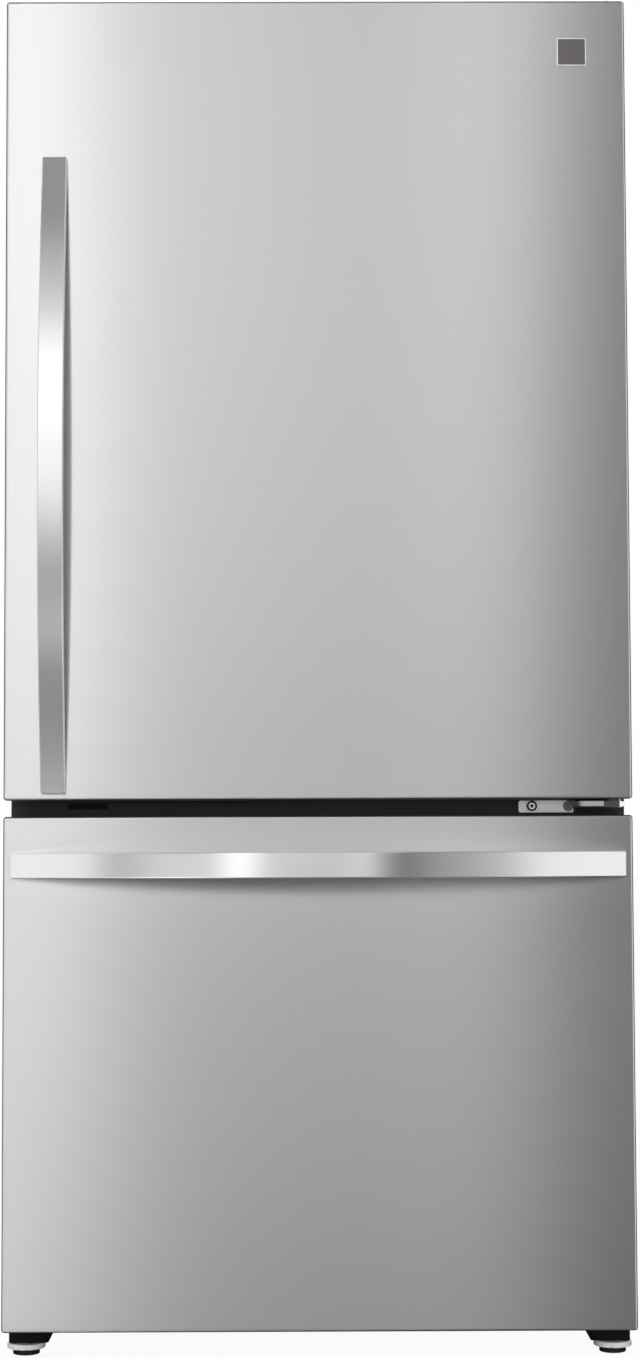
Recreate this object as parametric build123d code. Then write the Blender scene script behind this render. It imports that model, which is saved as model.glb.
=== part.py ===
"""Bottom-freezer refrigerator: one hinged upper door over one pull-out freezer drawer.

Millimetres. +X is to the right as seen from the front, the front faces -Y and +Z is up.
The origin is on the floor, at the middle of the whole object's box.
"""

import math
import os
from build123d import *

# ---------------------------------------------------------------- overall sizes
cabinet_width = 820.0
cabinet_depth = 690.0
door_thickness = 76.0
handle_projection = 56.0
floor_clearance = 39.5
freezer_door_height = 663.0
fridge_door_height = 1059.5
door_gap = 21.5
door_above_case = 15.0
case_bottom = 46.5

# ---------------------------------------------------------------- fits
seat_gap = 0.3
running_gap = 0.05
part_gap = 0.5

# ---------------------------------------------------------------- sheets, walls and foam
case_sheet = 0.8
door_sheet = 0.8
liner_wall = 2.0
liner_corner = 14.0
liner_lip = 9.0
base_sheet = 2.0
fridge_side_wall = 55.0
fridge_top_wall = 60.0
fridge_back_wall = 62.0
freezer_side_wall = 65.0
freezer_back_wall = 72.0
freezer_floor_wall = 66.0
divider_thickness = 70.0
machine_depth = 217.0
machine_height = 238.0
machine_wall = 70.0

# ---------------------------------------------------------------- doors
door_corner = 4.0
door_rim = 3.0
skin_return = 16.0
cap_thickness = 2.4
gasket_thickness = 11.7
gasket_width = 24.0
gasket_inset = 20.0
gasket_inset_end = 9.0
dyke_depth = 60.0
dyke_width = 18.0
dyke_clearance = 17.0
freezer_panel_depth = 23.0

# ---------------------------------------------------------------- handles and badge
fridge_handle_from_side = 65.0
fridge_handle_rise = 9.5
fridge_handle_length = 838.5
freezer_handle_drop = 63.0
freezer_handle_side_gap = 10.0
handle_width = 32.0
handle_mid_width = 32.8
handle_end_projection = 9.0
handle_mid_thickness = 11.0
handle_foot = 26.0
handle_corner = 2.0
handle_edge = 1.2
handle_stud_radius = 4.0
handle_stud_reach = 7.0
stud_flange_radius = 9.0
stud_flange_thickness = 2.0
badge_width = 39.0
badge_height = 37.5
badge_thickness = 1.2
badge_from_side = 70.5
badge_drop = 69.5

# ---------------------------------------------------------------- hinges
pin_radius = 5.0
pin_from_side = 22.0
pin_from_front = 30.0
pin_reach = 22.0
hinge_sheet = 3.0
hinge_lift = 2.5
hinge_arm_width = 24.0
hinge_base_width = 100.0
hinge_base_depth = 75.0
hinge_cover_wall = 2.0
hinge_cover_height = 30.0
hinge_cover_width = 118.0
hinge_cover_back = 96.0
hinge_cover_nose_drop = 7.0
hinge_cover_nose_run = 21.0
bolt_radius = 3.0
bolt_head_radius = 6.0
bolt_head_height = 4.0
socket_across = 6.0
socket_depth = 2.5
mid_plate_width = 77.5
mid_plate_height = 16.0
mid_plate_thickness = 2.5
mid_plate_from_side = 141.5
mid_arm_thickness = 8.0
mid_arm_lap = 3.8
mid_washer_thickness = 3.0
mid_plate_rise = 1.2
mid_screw_rise = 2.0
mid_screw_left = 17.5
mid_screw_spacing = 48.5
mid_stop_from_side = 7.5
mid_stop_width = 6.0

# ---------------------------------------------------------------- mullion
mullion_cover_height = 33.0
mullion_cover_thickness = 1.2
mullion_cover_inset = 22.0
mullion_return = 20.0
mullion_cap_width = 54.0
mullion_cap_height = 8.0
mullion_cap_from_side = 75.0
mullion_cap_drop = 0.7
mullion_cap_rim = 1.6

# ---------------------------------------------------------------- feet and rollers
foot_pad_radius = 17.5
foot_pad_height = 8.0
foot_disc_radius = 25.0
foot_disc_height = 7.0
foot_stud_radius = 5.0
foot_back = 70.0
bracket_width = 52.0
bracket_bottom = 16.0
bracket_wall = 3.0
bracket_reach = 30.0
bracket_back = 60.0
under_door_gap = 3.0
roller_radius = 15.0
roller_width = 18.0
roller_inset = 35.0
roller_from_back = 40.0
axle_radius = 4.0
roller_ear = 2.5

# ---------------------------------------------------------------- inside the fridge
shelf_count = 3
shelf_first = 396.0
shelf_pitch = 185.0
shelf_front_set = 153.0
shelf_back_gap = 30.0
shelf_frame_height = 14.0
shelf_border = 20.0
glass_thickness = 4.0
glass_bearing = 6.0
ledge_width = 6.0
ledge_height = 8.0
crisper_height = 190.0
crisper_back_gap = 60.0
crisper_front_set = 154.0
crisper_side_gap = 30.0
crisper_middle_gap = 6.0
crisper_wall = 3.0
crisper_corner = 12.0
bin_corner = 12.0
crisper_lip = 14.0
crisper_cover_rise = 207.0
divider_rib = 3.0
cheek_gap = 1.5
duct_half_width = 110.0
duct_depth = 25.0
duct_wall = 2.5
duct_low = 250.0
duct_top_gap = 22.0
duct_slot_count = 6
panel_width = 300.0
panel_depth = 90.0
panel_height = 22.0
panel_front_set = 123.0
button_width = 34.0
button_height = 9.0
button_depth = 8.0
button_proud = 1.5
button_offset = 60.0
bin_count = 3
bin_first = 40.0
bin_pitch = 310.0
bin_height = 95.0
bin_depth = 108.0
bin_wall = 3.0

# ---------------------------------------------------------------- inside the freezer
rail_height = 45.0
rail_sheet = 1.6
rail_reach = 20.0
rail_step = 4.0
rail_back_gap = 15.0
rail_above_step = 12.0
rail_front_set = 23.0
bracket_plate = 2.0
bracket_tab = 30.0
bracket_tab_drop = 40.0
bracket_gusset_reach = 90.0
basket_wall = 3.0
basket_back_gap = 35.0
basket_floor_gap = 10.0
basket_front_gap = 12.0
tray_rail_gap = 49.75
tray_top_drop = 118.0
tray_back_gap = 30.0
tray_wall = 3.0
tray_front_set = 38.0
tray_ledge = 12.0
evaporator_bay = 100.0
cover_wall = 4.0
evaporator_side_gap = 95.0
evaporator_thickness = 58.0
evaporator_rise = 14.0
evaporator_top_gap = 15.75
evaporator_fin_pitch = 20.0
evaporator_fan_radius = 42.0
evaporator_fan_drop = 50.0
evaporator_fan_set = 16.0

# ---------------------------------------------------------------- machine compartment
compressor_radius = 75.0
compressor_height = 150.0
compressor_from_side = 175.0
compressor_foot_span = 170.0
terminal_low = 50.0
terminal_height = 50.0
terminal_half_width = 26.0
terminal_reach = 14.0
grommet_radius = 11.0
grommet_height = 14.0
condenser_left = 20.0
condenser_width = 150.0
condenser_depth = 150.0
condenser_height = 170.0
condenser_fin_pitch = 10.0
condenser_fan_radius = 75.0
condenser_fan_gap = 60.0
fan_hub_radius = 20.0
fan_blade_count = 5
fan_blade_pitch = 28.0
fan_blade_sheet = 2.0
fan_depth = 24.0
motor_radius = 22.0
motor_length = 42.0
shroud_sheet = 3.0
shroud_gap = 5.0
drain_gap = 34.0
drain_height = 32.0
drain_wall = 2.0
rear_cover_set = 12.0
rear_cover_sheet = 1.2
slot_width = 7.0
slot_pitch = 17.0
slot_end_margin = 50.0
slots_each_side = 5
slot_group_places = (-0.61, 0.0, 0.49)
gland_radius = 9.0
gland_length = 20.0
gland_from_side = 60.0
gland_rise = 40.0

# ---------------------------------------------------------------- derived planes
half_width = cabinet_width / 2
overall_depth = handle_projection + door_thickness + gasket_thickness + seat_gap + cabinet_depth
door_front = handle_projection - overall_depth / 2
door_back = door_front + door_thickness
case_front = door_back + gasket_thickness + seat_gap
case_back = case_front + cabinet_depth
freezer_low = floor_clearance
freezer_high = freezer_low + freezer_door_height
fridge_low = freezer_high + door_gap
fridge_high = fridge_low + fridge_door_height
case_top = fridge_high - door_above_case
mullion_z = (freezer_high + fridge_low) / 2
fridge_half = half_width - fridge_side_wall
fridge_floor = mullion_z + divider_thickness / 2
fridge_ceiling = case_top - fridge_top_wall
fridge_back = case_back - fridge_back_wall
freezer_half = half_width - freezer_side_wall
freezer_floor = case_bottom + base_sheet + freezer_floor_wall
freezer_ceiling = mullion_z - divider_thickness / 2
freezer_back = case_back - freezer_back_wall
machine_front = case_back - machine_depth
machine_top = case_bottom + base_sheet + machine_height
freezer_low_back = machine_front - machine_wall
freezer_step = machine_top + machine_wall
lip_half = fridge_half + liner_lip
pin_x = half_width - pin_from_side
pin_y = door_front + pin_from_front
evaporator_cover_y = freezer_back - evaporator_bay
base_top = case_bottom + base_sheet
fridge_handle_x = fridge_handle_from_side - half_width
fridge_handle_low = fridge_low + fridge_handle_rise
freezer_handle_length = cabinet_width - 2 * freezer_handle_side_gap
freezer_handle_z = freezer_high - freezer_handle_drop
badge_x = half_width - badge_from_side
mid_plate_left = half_width - mid_plate_from_side
mullion_cap_left = mullion_cap_from_side - half_width
evaporator_width = 2 * (freezer_half - evaporator_side_gap)
compressor_x = half_width - compressor_from_side
condenser_fan_x = condenser_left + condenser_width + condenser_fan_gap - half_width
drain_left = condenser_fan_x + fan_depth + motor_length + drain_gap
drain_right = compressor_x - compressor_radius - terminal_reach - drain_gap
shelf_front = case_front + shelf_front_set
shelf_back = fridge_back - duct_depth - shelf_back_gap
crisper_front = case_front + crisper_front_set
crisper_back = fridge_back - crisper_back_gap
rail_front = case_front + rail_front_set
rail_back = evaporator_cover_y - rail_back_gap
basket_front = door_back + freezer_panel_depth + basket_front_gap
basket_back = freezer_low_back - basket_back_gap
tray_front = case_front + tray_front_set
tray_low = freezer_step + rail_above_step + rail_height + tray_rail_gap
tray_height = freezer_ceiling - tray_top_drop + tray_wall - tray_low
tray_back = evaporator_cover_y - tray_back_gap


# ---------------------------------------------------------------- helpers
def block(x0, x1, y0, y1, z0, z1):
    """A box between pairs of planes."""
    centre = Pos((x0 + x1) / 2, (y0 + y1) / 2, (z0 + z1) / 2)
    return centre * Box(x1 - x0, y1 - y0, z1 - z0)


def rod(radius, start, end):
    """A round bar between two points that differ along one axis."""
    way = Vector(*end) - Vector(*start)
    plane = Plane(origin=start, z_dir=way.normalized())
    return extrude(plane * Circle(radius), way.length)


def mirrored(shape):
    """The same shape on the other side of the object."""
    return mirror(shape, Plane.YZ)


def round_long_edges(shape, axis, radius):
    """Rounds every straight edge that runs along one axis."""
    return fillet(shape.edges().filter_by(axis), radius)


def tub(x0, x1, y0, y1, z0, z1, wall, corner):
    """An open-topped box with rounded upright corners."""
    outer = round_long_edges(block(x0, x1, y0, y1, z0, z1), Axis.Z, corner)
    inner = block(x0 + wall, x1 - wall, y0 + wall, y1 - wall, z0 + wall, z1 + wall)
    inner = round_long_edges(inner, Axis.Z, max(corner - wall, wall / 2))
    return outer - inner


def finned_block(x0, x1, y0, y1, z0, z1, pitch, rows, columns):
    """Upright fins on tubes that run along X."""
    fin_sheet = 0.8
    tube_radius = 4.0
    count = max(int((x1 - x0) / pitch), 2)
    step = (x1 - x0 - fin_sheet) / count
    fins = [block(x0 + i * step, x0 + i * step + fin_sheet, y0, y1, z0, z1) for i in range(count + 1)]
    tubes = []
    for row in range(rows):
        for column in range(columns):
            z = z0 + (row + 0.5) * (z1 - z0) / rows
            y = y0 + (column + 0.5) * (y1 - y0) / columns
            tubes.append(rod(tube_radius, (x0, y, z), (x1, y, z)))
    return Part() + fins + tubes


def fan(radius, hub_radius, depth, bore):
    """A fan about Z through the origin, from z = 0 up to its depth."""
    hub = fillet(Cylinder(hub_radius, depth, align=(Align.CENTER, Align.CENTER, Align.MIN))
                 .edges().group_by(Axis.Z)[-1], hub_radius / 5)
    reach = (radius + hub_radius) / 2
    blades = []
    for i in range(fan_blade_count):
        turn = Rot(0, 0, 360 / fan_blade_count * i)
        place = Pos(reach, 0, depth / 2) * Rot(fan_blade_pitch, 0, 0)
        blades.append(turn * place * Box(radius - hub_radius + 6, depth * 1.6, fan_blade_sheet))
    swept = Cylinder(radius, depth, align=(Align.CENTER, Align.CENTER, Align.MIN))
    hole = Cylinder(bore, depth * 3)
    return hub + (swept & (Part() + blades)) - hole


# ---------------------------------------------------------------- cabinet shell
def make_outer_case():
    flange_z = fridge_ceiling + liner_lip
    shell = block(-half_width, half_width, case_front, case_back, case_bottom, case_top)
    shell -= block(-half_width + case_sheet, half_width - case_sheet, case_front + case_sheet,
                   case_back + 1, case_bottom - 1, case_top - case_sheet)
    shell -= block(-lip_half, lip_half, case_front - 1, case_front + 2, case_bottom - 1, flange_z)
    return shell - top_bolts(0)


def make_rear_panel():
    edge = half_width - case_sheet
    return block(-edge, edge, case_back - case_sheet, case_back, machine_top, case_top - case_sheet)


def fridge_space(grow, front):
    """The fridge compartment, grown by one distance on every side but the front."""
    shape = block(-fridge_half - grow, fridge_half + grow, front, fridge_back + grow,
                  fridge_floor - grow, fridge_ceiling + grow)
    return round_long_edges(shape, Axis.Y, liner_corner + grow)


def freezer_space(grow, front):
    """The freezer compartment, deep above the step and shallow below it."""
    side = freezer_half + grow
    upper = block(-side, side, front, freezer_back + grow, freezer_step - grow, freezer_ceiling + grow)
    lower = block(-side, side, front, freezer_low_back + grow, freezer_floor - grow, freezer_ceiling + grow)
    shape = upper + lower
    corners = [e for e in shape.edges().filter_by(Axis.Y) if e.length > 1.01 * (freezer_low_back - front)
               or abs(e.center().Z - freezer_floor + grow) < 0.01]
    return fillet(corners, liner_corner + grow)


def lip_block(low, high):
    return block(-lip_half, lip_half, case_front, case_front + liner_wall, low, high)


def fridge_envelope():
    lip = lip_block(fridge_floor - liner_lip, fridge_ceiling + liner_lip)
    return fridge_space(liner_wall, case_front) + lip


def freezer_envelope():
    return freezer_space(liner_wall, case_front) + lip_block(freezer_floor - liner_lip,
                                                             freezer_ceiling + liner_lip)


def shelf_tops():
    """Heights of the underside of each shelf frame."""
    return [fridge_floor + shelf_first + i * shelf_pitch for i in range(shelf_count)]


def cover_underside():
    return fridge_floor + crisper_cover_rise


def fridge_ledges():
    ledges = []
    for z in shelf_tops() + [cover_underside()]:
        left = block(-fridge_half - liner_wall / 2, -fridge_half + ledge_width, shelf_front,
                     shelf_back, z - ledge_height, z)
        ledges += [left, mirrored(left)]
    return ledges


def make_fridge_liner():
    return fridge_envelope() - fridge_space(0, case_front - 1) + fridge_ledges()


def tray_rim_z():
    return freezer_ceiling - tray_top_drop


def make_freezer_liner():
    shell = freezer_envelope() - freezer_space(0, case_front - 1)
    top = tray_rim_z() - seat_gap
    ledge = block(-freezer_half - liner_wall / 2, -freezer_half + tray_ledge, tray_front,
                  evaporator_cover_y, top - ledge_height, top)
    return shell + ledge + mirrored(ledge)


def make_base_frame():
    edge = half_width - case_sheet
    plate = block(-edge, edge, case_front + case_sheet, case_back - case_sheet, case_bottom, base_top)
    front = block(-lip_half, lip_half, case_front, case_front + base_sheet, case_bottom,
                  freezer_floor - liner_lip)
    cheek = block(-edge, -edge + base_sheet, machine_front, case_back - case_sheet, base_top, machine_top)
    ears = []
    for side in (-1, 1):
        for face in (-1, 1):
            inner = roller_x() + face * (roller_width / 2 + part_gap)
            outer = inner + face * roller_ear
            x0, x1 = sorted((side * inner, side * outer))
            ear = block(x0, x1, roller_y() - roller_radius, roller_y() + roller_radius,
                        roller_radius - axle_radius * 2, case_bottom)
            ears.append(ear)
    frame = plate + front + cheek + mirrored(cheek) + ears
    for side in (-1, 1):
        far = side * (half_width + 1)
        near = side * (roller_x() - roller_width)
        frame -= rod(axle_radius, (near, roller_y(), roller_radius), (far, roller_y(), roller_radius))
    return frame


def roller_x():
    return half_width - roller_inset


def roller_y():
    return case_back - roller_from_back


def make_roller_axles():
    reach = roller_width / 2 + part_gap + roller_ear + 2
    y, z = roller_y(), roller_radius
    right = rod(axle_radius, (roller_x() - reach, y, z), (roller_x() + reach, y, z))
    return Compound([mirrored(right), right])


def make_roller(side):
    x = side * roller_x()
    y, z = roller_y(), roller_radius
    wheel = rod(roller_radius, (x - roller_width / 2, y, z), (x + roller_width / 2, y, z))
    wheel = fillet(wheel.edges().filter_by(GeomType.CIRCLE), 2)
    return wheel - rod(axle_radius + running_gap, (x - roller_width, y, z), (x + roller_width, y, z))


def make_mullion():
    low = freezer_ceiling + liner_lip
    high = fridge_floor - liner_lip
    y = case_front
    web = block(-lip_half, lip_half, y, y + case_sheet, low, high)
    cover_half = half_width - mullion_cover_inset
    cover = block(-cover_half, cover_half, y - mullion_cover_thickness, y,
                  mullion_z - mullion_cover_height / 2, mullion_z + mullion_cover_height / 2)
    returns = [block(-lip_half, lip_half, y, y + mullion_return, z, z + case_sheet)
               for z in (low, high - case_sheet)]
    return web + cover + returns - mullion_cap_space() - mid_screws(0)


def mullion_cap_space():
    z = mullion_z - mullion_cap_drop
    return block(mullion_cap_left, mullion_cap_left + mullion_cap_width,
                 case_front - mullion_cover_thickness - 1, case_front + 6, z, z + mullion_cap_height)


def make_mullion_cap():
    """A shallow black cup that closes the slot for the unused left-hand hinge."""
    z = mullion_z - mullion_cap_drop
    left, right = mullion_cap_left, mullion_cap_left + mullion_cap_width
    front = case_front - mullion_cover_thickness
    cup = block(left, right, front, case_front + 6, z, z + mullion_cap_height)
    hollow = block(left + mullion_cap_rim, right - mullion_cap_rim, front - 1, case_front + 3,
                   z + mullion_cap_rim, z + mullion_cap_height - mullion_cap_rim)
    return cup - hollow


def make_cabinet_insulation():
    edge = half_width - case_sheet
    foam = block(-edge, edge, case_front + case_sheet, case_back - case_sheet, base_top,
                 case_top - case_sheet)
    foam -= block(-half_width, half_width, machine_front, case_back + 1, case_bottom, machine_top)
    foam -= fridge_envelope()
    foam -= freezer_envelope()
    foam -= make_base_frame()
    foam -= make_mullion()
    foam -= mullion_cap_space()
    foam -= mid_screws(0)
    return foam - top_bolts(0)


# ---------------------------------------------------------------- feet
def foot_x():
    return half_width - foot_disc_radius


def foot_y():
    return door_front + foot_back


def make_leg_brackets():
    """Folded steel brackets under the front corners; each has the nut for a levelling leg."""
    x0 = foot_x() - bracket_width / 2 - 4
    x1 = x0 + bracket_width
    front = foot_y() - bracket_reach / 2
    top = floor_clearance - under_door_gap
    low_part = block(x0, x1, front, case_front + bracket_back, bracket_bottom, top)
    rear_part = block(x0, x1, case_front + seat_gap, case_front + bracket_back, bracket_bottom, case_bottom)
    body = low_part + rear_part
    front_edges = body.edges().filter_by(Axis.Z).group_by(Axis.Y)[0]
    body = fillet(front_edges, 6)
    hollow = block(x0 + bracket_wall, x1 - bracket_wall, front + bracket_wall,
                   case_front + bracket_back + 1, bracket_bottom - 1, top - bracket_wall)
    nut = rod(foot_stud_radius * 2, (foot_x(), foot_y(), bracket_bottom), (foot_x(), foot_y(), top))
    stud = rod(foot_stud_radius + running_gap, (foot_x(), foot_y(), 0), (foot_x(), foot_y(), case_bottom))
    bracket = (body - hollow) + nut - stud
    return Compound([mirrored(bracket), bracket])


def make_leveller(side):
    """A levelling leg: black pad on the floor, bright hand disc and threaded stud."""
    at = Pos(side * foot_x(), foot_y(), 0)
    base = (Align.CENTER, Align.CENTER, Align.MIN)
    pad = Cylinder(foot_pad_radius, foot_pad_height, align=base)
    pad = fillet(pad.edges().group_by(Axis.Z)[0], 1)
    disc = Pos(0, 0, foot_pad_height) * Cylinder(foot_disc_radius, foot_disc_height, align=base)
    disc = chamfer(disc.edges().filter_by(GeomType.CIRCLE), 0.8)
    low = foot_pad_height + foot_disc_height
    stud_top = floor_clearance - under_door_gap
    stud = Pos(0, 0, low) * Cylinder(foot_stud_radius, stud_top - low, align=base)
    return at * (pad + disc + stud)


# ---------------------------------------------------------------- hinges
def top_bolt_places():
    x = half_width - hinge_base_width / 2
    y = case_front + hinge_base_depth / 2 + 4
    return [(x + i * hinge_base_width / 3.2, y) for i in (-1, 0, 1)]


def top_bolts(head):
    """Cutting or real shanks of the top hinge bolts; head is the height of their heads."""
    bolts = []
    for x, y in top_bolt_places():
        shank = rod(bolt_radius, (x, y, case_top - 22), (x, y, case_top + hinge_sheet))
        if head:
            cap = rod(bolt_head_radius, (x, y, case_top + hinge_sheet), (x, y, case_top + hinge_sheet + head))
            shank += cap
        bolts.append(shank)
    return bolts


def hex_socket(centre, way):
    """A hexagonal cutter for a socket, from a face inward."""
    plane = Plane(origin=centre, z_dir=way)
    return extrude(plane * RegularPolygon(socket_across / 2, 6, major_radius=False), socket_depth)


def make_hinge_bolts():
    """Three bolts of the top hinge and two socket screws of the middle hinge."""
    bolts = []
    for bolt, (x, y) in zip(top_bolts(bolt_head_height), top_bolt_places()):
        top = case_top + hinge_sheet + bolt_head_height
        bolts.append(bolt - hex_socket((x, y, top), (0, 0, -1)))
    for screw, x in zip(mid_screws(bolt_head_height), mid_screw_places()):
        face = mid_plate_face() - bolt_head_height
        bolts.append(screw - hex_socket((x, face, mid_screw_z()), (0, 1, 0)))
    return Compound(bolts)


def hinge_arm_low():
    return fridge_high + hinge_lift


def make_top_hinge_bracket():
    """A stepped steel plate bolted on the case, with the pin that the door turns on."""
    x0, x1 = half_width - hinge_base_width, half_width - 8
    base = block(x0, x1, case_front, case_front + hinge_base_depth, case_top, case_top + hinge_sheet)
    arm_low = hinge_arm_low()
    arm_left, arm_right = pin_x - hinge_arm_width / 2, pin_x + hinge_arm_width / 2
    riser = block(arm_left - 20, arm_right, case_front, case_front + hinge_sheet, case_top,
                  arm_low + hinge_sheet)
    arm = block(arm_left - 20, arm_right, pin_y, case_front + hinge_sheet, arm_low, arm_low + hinge_sheet)
    nose = rod(hinge_arm_width / 2, (pin_x, pin_y, arm_low), (pin_x, pin_y, arm_low + hinge_sheet))
    pin = rod(pin_radius, (pin_x, pin_y, fridge_high - pin_reach), (pin_x, pin_y, arm_low))
    return base + riser + arm + nose + pin - top_bolts(0)


def hinge_cover_block(inset, low):
    """A long low block with a sloped nose, drawn in by one distance."""
    x0, x1 = half_width - hinge_cover_width + inset, half_width - 2 - inset
    y0, y1 = pin_y - 2 + inset, case_front + hinge_cover_back - inset
    top = case_top + hinge_cover_height - inset
    with BuildSketch(Plane.YZ) as side_view:
        with BuildLine():
            Polyline((y0, low), (y0, top - hinge_cover_nose_drop), (y0 + hinge_cover_nose_run, top),
                     (y1, top), (y1, low), close=True)
        make_face()
    shape = Pos(x0, 0, 0) * extrude(side_view.sketch, x1 - x0)
    return round_long_edges(shape, Axis.Z, 8 - inset)


def make_top_hinge_cover():
    """A moulded cover over the top hinge; its front part stands clear of the door's top and the arm."""
    shell = hinge_cover_block(0, case_top) - hinge_cover_block(hinge_cover_wall, case_top - 1)
    front = pin_y - hinge_cover_nose_run
    arm_left, arm_right = pin_x - hinge_arm_width / 2 - 20, pin_x + hinge_arm_width / 2
    clear = block(0, half_width, front, case_front - seat_gap, case_top - 1, fridge_high + hinge_lift / 2)
    arm_way = block(arm_left - part_gap, arm_right + part_gap, front, pin_y + hinge_cover_wall * 2,
                    case_top - 1, hinge_arm_low() + hinge_sheet + part_gap)
    return shell - clear - arm_way


def mid_plate_face():
    return case_front - mullion_cover_thickness - mid_plate_thickness


def mid_screw_places():
    left = mid_plate_left + mid_screw_left
    return [left, left + mid_screw_spacing]


def mid_screw_z():
    return mullion_z + mid_screw_rise


def mid_screws(head):
    """Shanks of the two middle-hinge screws, with heads when a height is given."""
    screws = []
    face = mid_plate_face()
    z = mid_screw_z()
    for x in mid_screw_places():
        screw = rod(bolt_radius, (x, face, z), (x, case_front + 14, z))
        if head:
            screw += rod(bolt_head_radius + 1, (x, face - head, z), (x, face, z))
        screws.append(screw)
    return screws


def make_middle_hinge():
    """The bracket between the doors: screwed plate, forward arm, washer and upward pin."""
    low = mullion_z - mid_plate_height / 2 + mid_plate_rise
    high = low + mid_plate_height
    face = mid_plate_face()
    right = mid_plate_left + mid_plate_width
    plate = block(mid_plate_left, right, face, face + mid_plate_thickness, low, high)
    plate = fillet(plate.edges().filter_by(Axis.Y), 3.5)
    arm_low = fridge_low - mid_washer_thickness - mid_arm_thickness
    arm_high = arm_low + mid_arm_thickness
    nose = hinge_arm_width / 2
    wing = block(right - mid_arm_lap, pin_x + nose, face - 14, face + mid_plate_thickness, arm_low, arm_high)
    arm = block(right - mid_arm_lap, pin_x, pin_y - nose, face, arm_low, arm_high)
    front_corner = arm.edges().filter_by(Axis.Z).group_by(Axis.Y)[0].sort_by(Axis.X)[0]
    arm = fillet(front_corner, 8)
    boss = rod(nose, (pin_x, pin_y, arm_low), (pin_x, pin_y, arm_high))
    link = block(pin_x - nose, pin_x + nose, pin_y, face - 10, arm_low, arm_high)
    washer = rod(pin_radius * 2, (pin_x, pin_y, arm_high), (pin_x, pin_y, fridge_low - seat_gap))
    pin = rod(pin_radius, (pin_x, pin_y, arm_high), (pin_x, pin_y, fridge_low + pin_reach))
    stop_x = half_width - mid_stop_from_side
    stop = block(stop_x - mid_stop_width, stop_x, pin_y - 6, face - 6, arm_low + 1, arm_high - 0.5)
    tie = block(pin_x, stop_x - 3, face - 14, face - 8, arm_low + 1, arm_high - 0.5)
    return plate + wing + arm + link + boss + washer + pin + stop + tie - mid_screws(0)


# ---------------------------------------------------------------- doors
def door_solid(low, high, inset):
    """A door's outer block with rounded corners and front rim, drawn in by one distance."""
    corner = door_corner - inset
    rim = door_rim - inset
    side = half_width - inset
    shape = block(-side, side, door_front + inset, door_back - liner_wall, low + inset, high - inset)
    shape = round_long_edges(shape, Axis.Y, corner)
    return fillet(shape.edges().group_by(Axis.Y)[0], rim)


def end_cap_spaces(low, high):
    """Where the moulded caps close a door's lower and upper ends, behind the skin's return."""
    y0, y1 = door_front + skin_return, door_back - liner_wall
    side = half_width - door_sheet
    return [block(-side, side, y0, y1, low, low + cap_thickness),
            block(-side, side, y0, y1, high - cap_thickness, high)]


def make_door_skin(low, high, studs):
    skin = door_solid(low, high, 0) - door_solid(low, high, door_sheet)
    skin -= block(-half_width, half_width, door_back - liner_wall - 0.01, door_back + 1, low, high)
    for cap in end_cap_spaces(low, high):
        skin -= cap
    return skin - studs


def door_core(low, high):
    return door_solid(low, high, door_sheet)


def pin_holes(low, high):
    reach = pin_reach + 3
    radius = pin_radius + running_gap
    return [rod(radius, (pin_x, pin_y, low - 1), (pin_x, pin_y, low + reach)),
            rod(radius, (pin_x, pin_y, high - reach), (pin_x, pin_y, high + 1))]


def bush_bosses(low, high):
    """Moulded tubes round the two pin holes, one under each end cap."""
    reach = pin_reach + 5
    radius = pin_radius * 2
    return [rod(radius, (pin_x, pin_y, low), (pin_x, pin_y, low + reach)),
            rod(radius, (pin_x, pin_y, high - reach), (pin_x, pin_y, high))]


def make_end_caps(low, high, hinged):
    caps = end_cap_spaces(low, high)
    if hinged:
        caps = [cap + boss for cap, boss in zip(caps, bush_bosses(low, high))]
        caps = [cap - hole for cap, hole in zip(caps, pin_holes(low, high))]
    return Compound(caps)


def make_door_insulation(low, high, hinged, fixings):
    foam = door_core(low, high)
    foam -= end_cap_spaces(low, high)
    if hinged:
        foam -= bush_bosses(low, high)
    return foam - fixings


def ring(outer_half, inner_half, y0, y1, low, high, width):
    outer = block(-outer_half, outer_half, y0, y1, low, high)
    return outer - block(-inner_half, inner_half, y0 - 1, y1 + 1, low + width, high - width)


def fridge_dyke_span():
    return fridge_floor + dyke_clearance, fridge_ceiling - dyke_clearance


def make_fridge_door_liner():
    """The door's white inner panel with a raised rim that reaches into the cabinet."""
    side = half_width - door_sheet
    panel = block(-side, side, door_back - liner_wall, door_back, fridge_low + door_sheet,
                  fridge_high - door_sheet)
    low, high = fridge_dyke_span()
    outer = fridge_half - dyke_clearance
    back = door_back + dyke_depth
    wall = liner_wall
    rim = ring(outer, outer - dyke_width, door_back, back, low, high, dyke_width)
    rim = fillet(rim.edges().filter_by(Axis.Y), 3)
    hollow = ring(outer - wall, outer - dyke_width + wall, door_back - wall - 1, back - wall,
                  low + wall, high - wall, dyke_width - 2 * wall)
    return panel + rim - hollow


def make_gasket(low, high, inset_low, inset_high):
    outer = half_width - gasket_inset
    gasket = ring(outer, outer - gasket_width, door_back, door_back + gasket_thickness,
                  low + inset_low, high - inset_high, gasket_width)
    return gasket


def make_door_bins():
    """Open bins that hang between the two upright rims of the door's inner panel."""
    low, high = fridge_dyke_span()
    side = fridge_half - dyke_clearance - dyke_width
    bins = []
    for i in range(bin_count):
        z = low + dyke_width + bin_first + i * bin_pitch
        bins.append(tub(-side, side, door_back, door_back + bin_depth, z, z + bin_height, bin_wall, 8))
    return Compound(bins)


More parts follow.
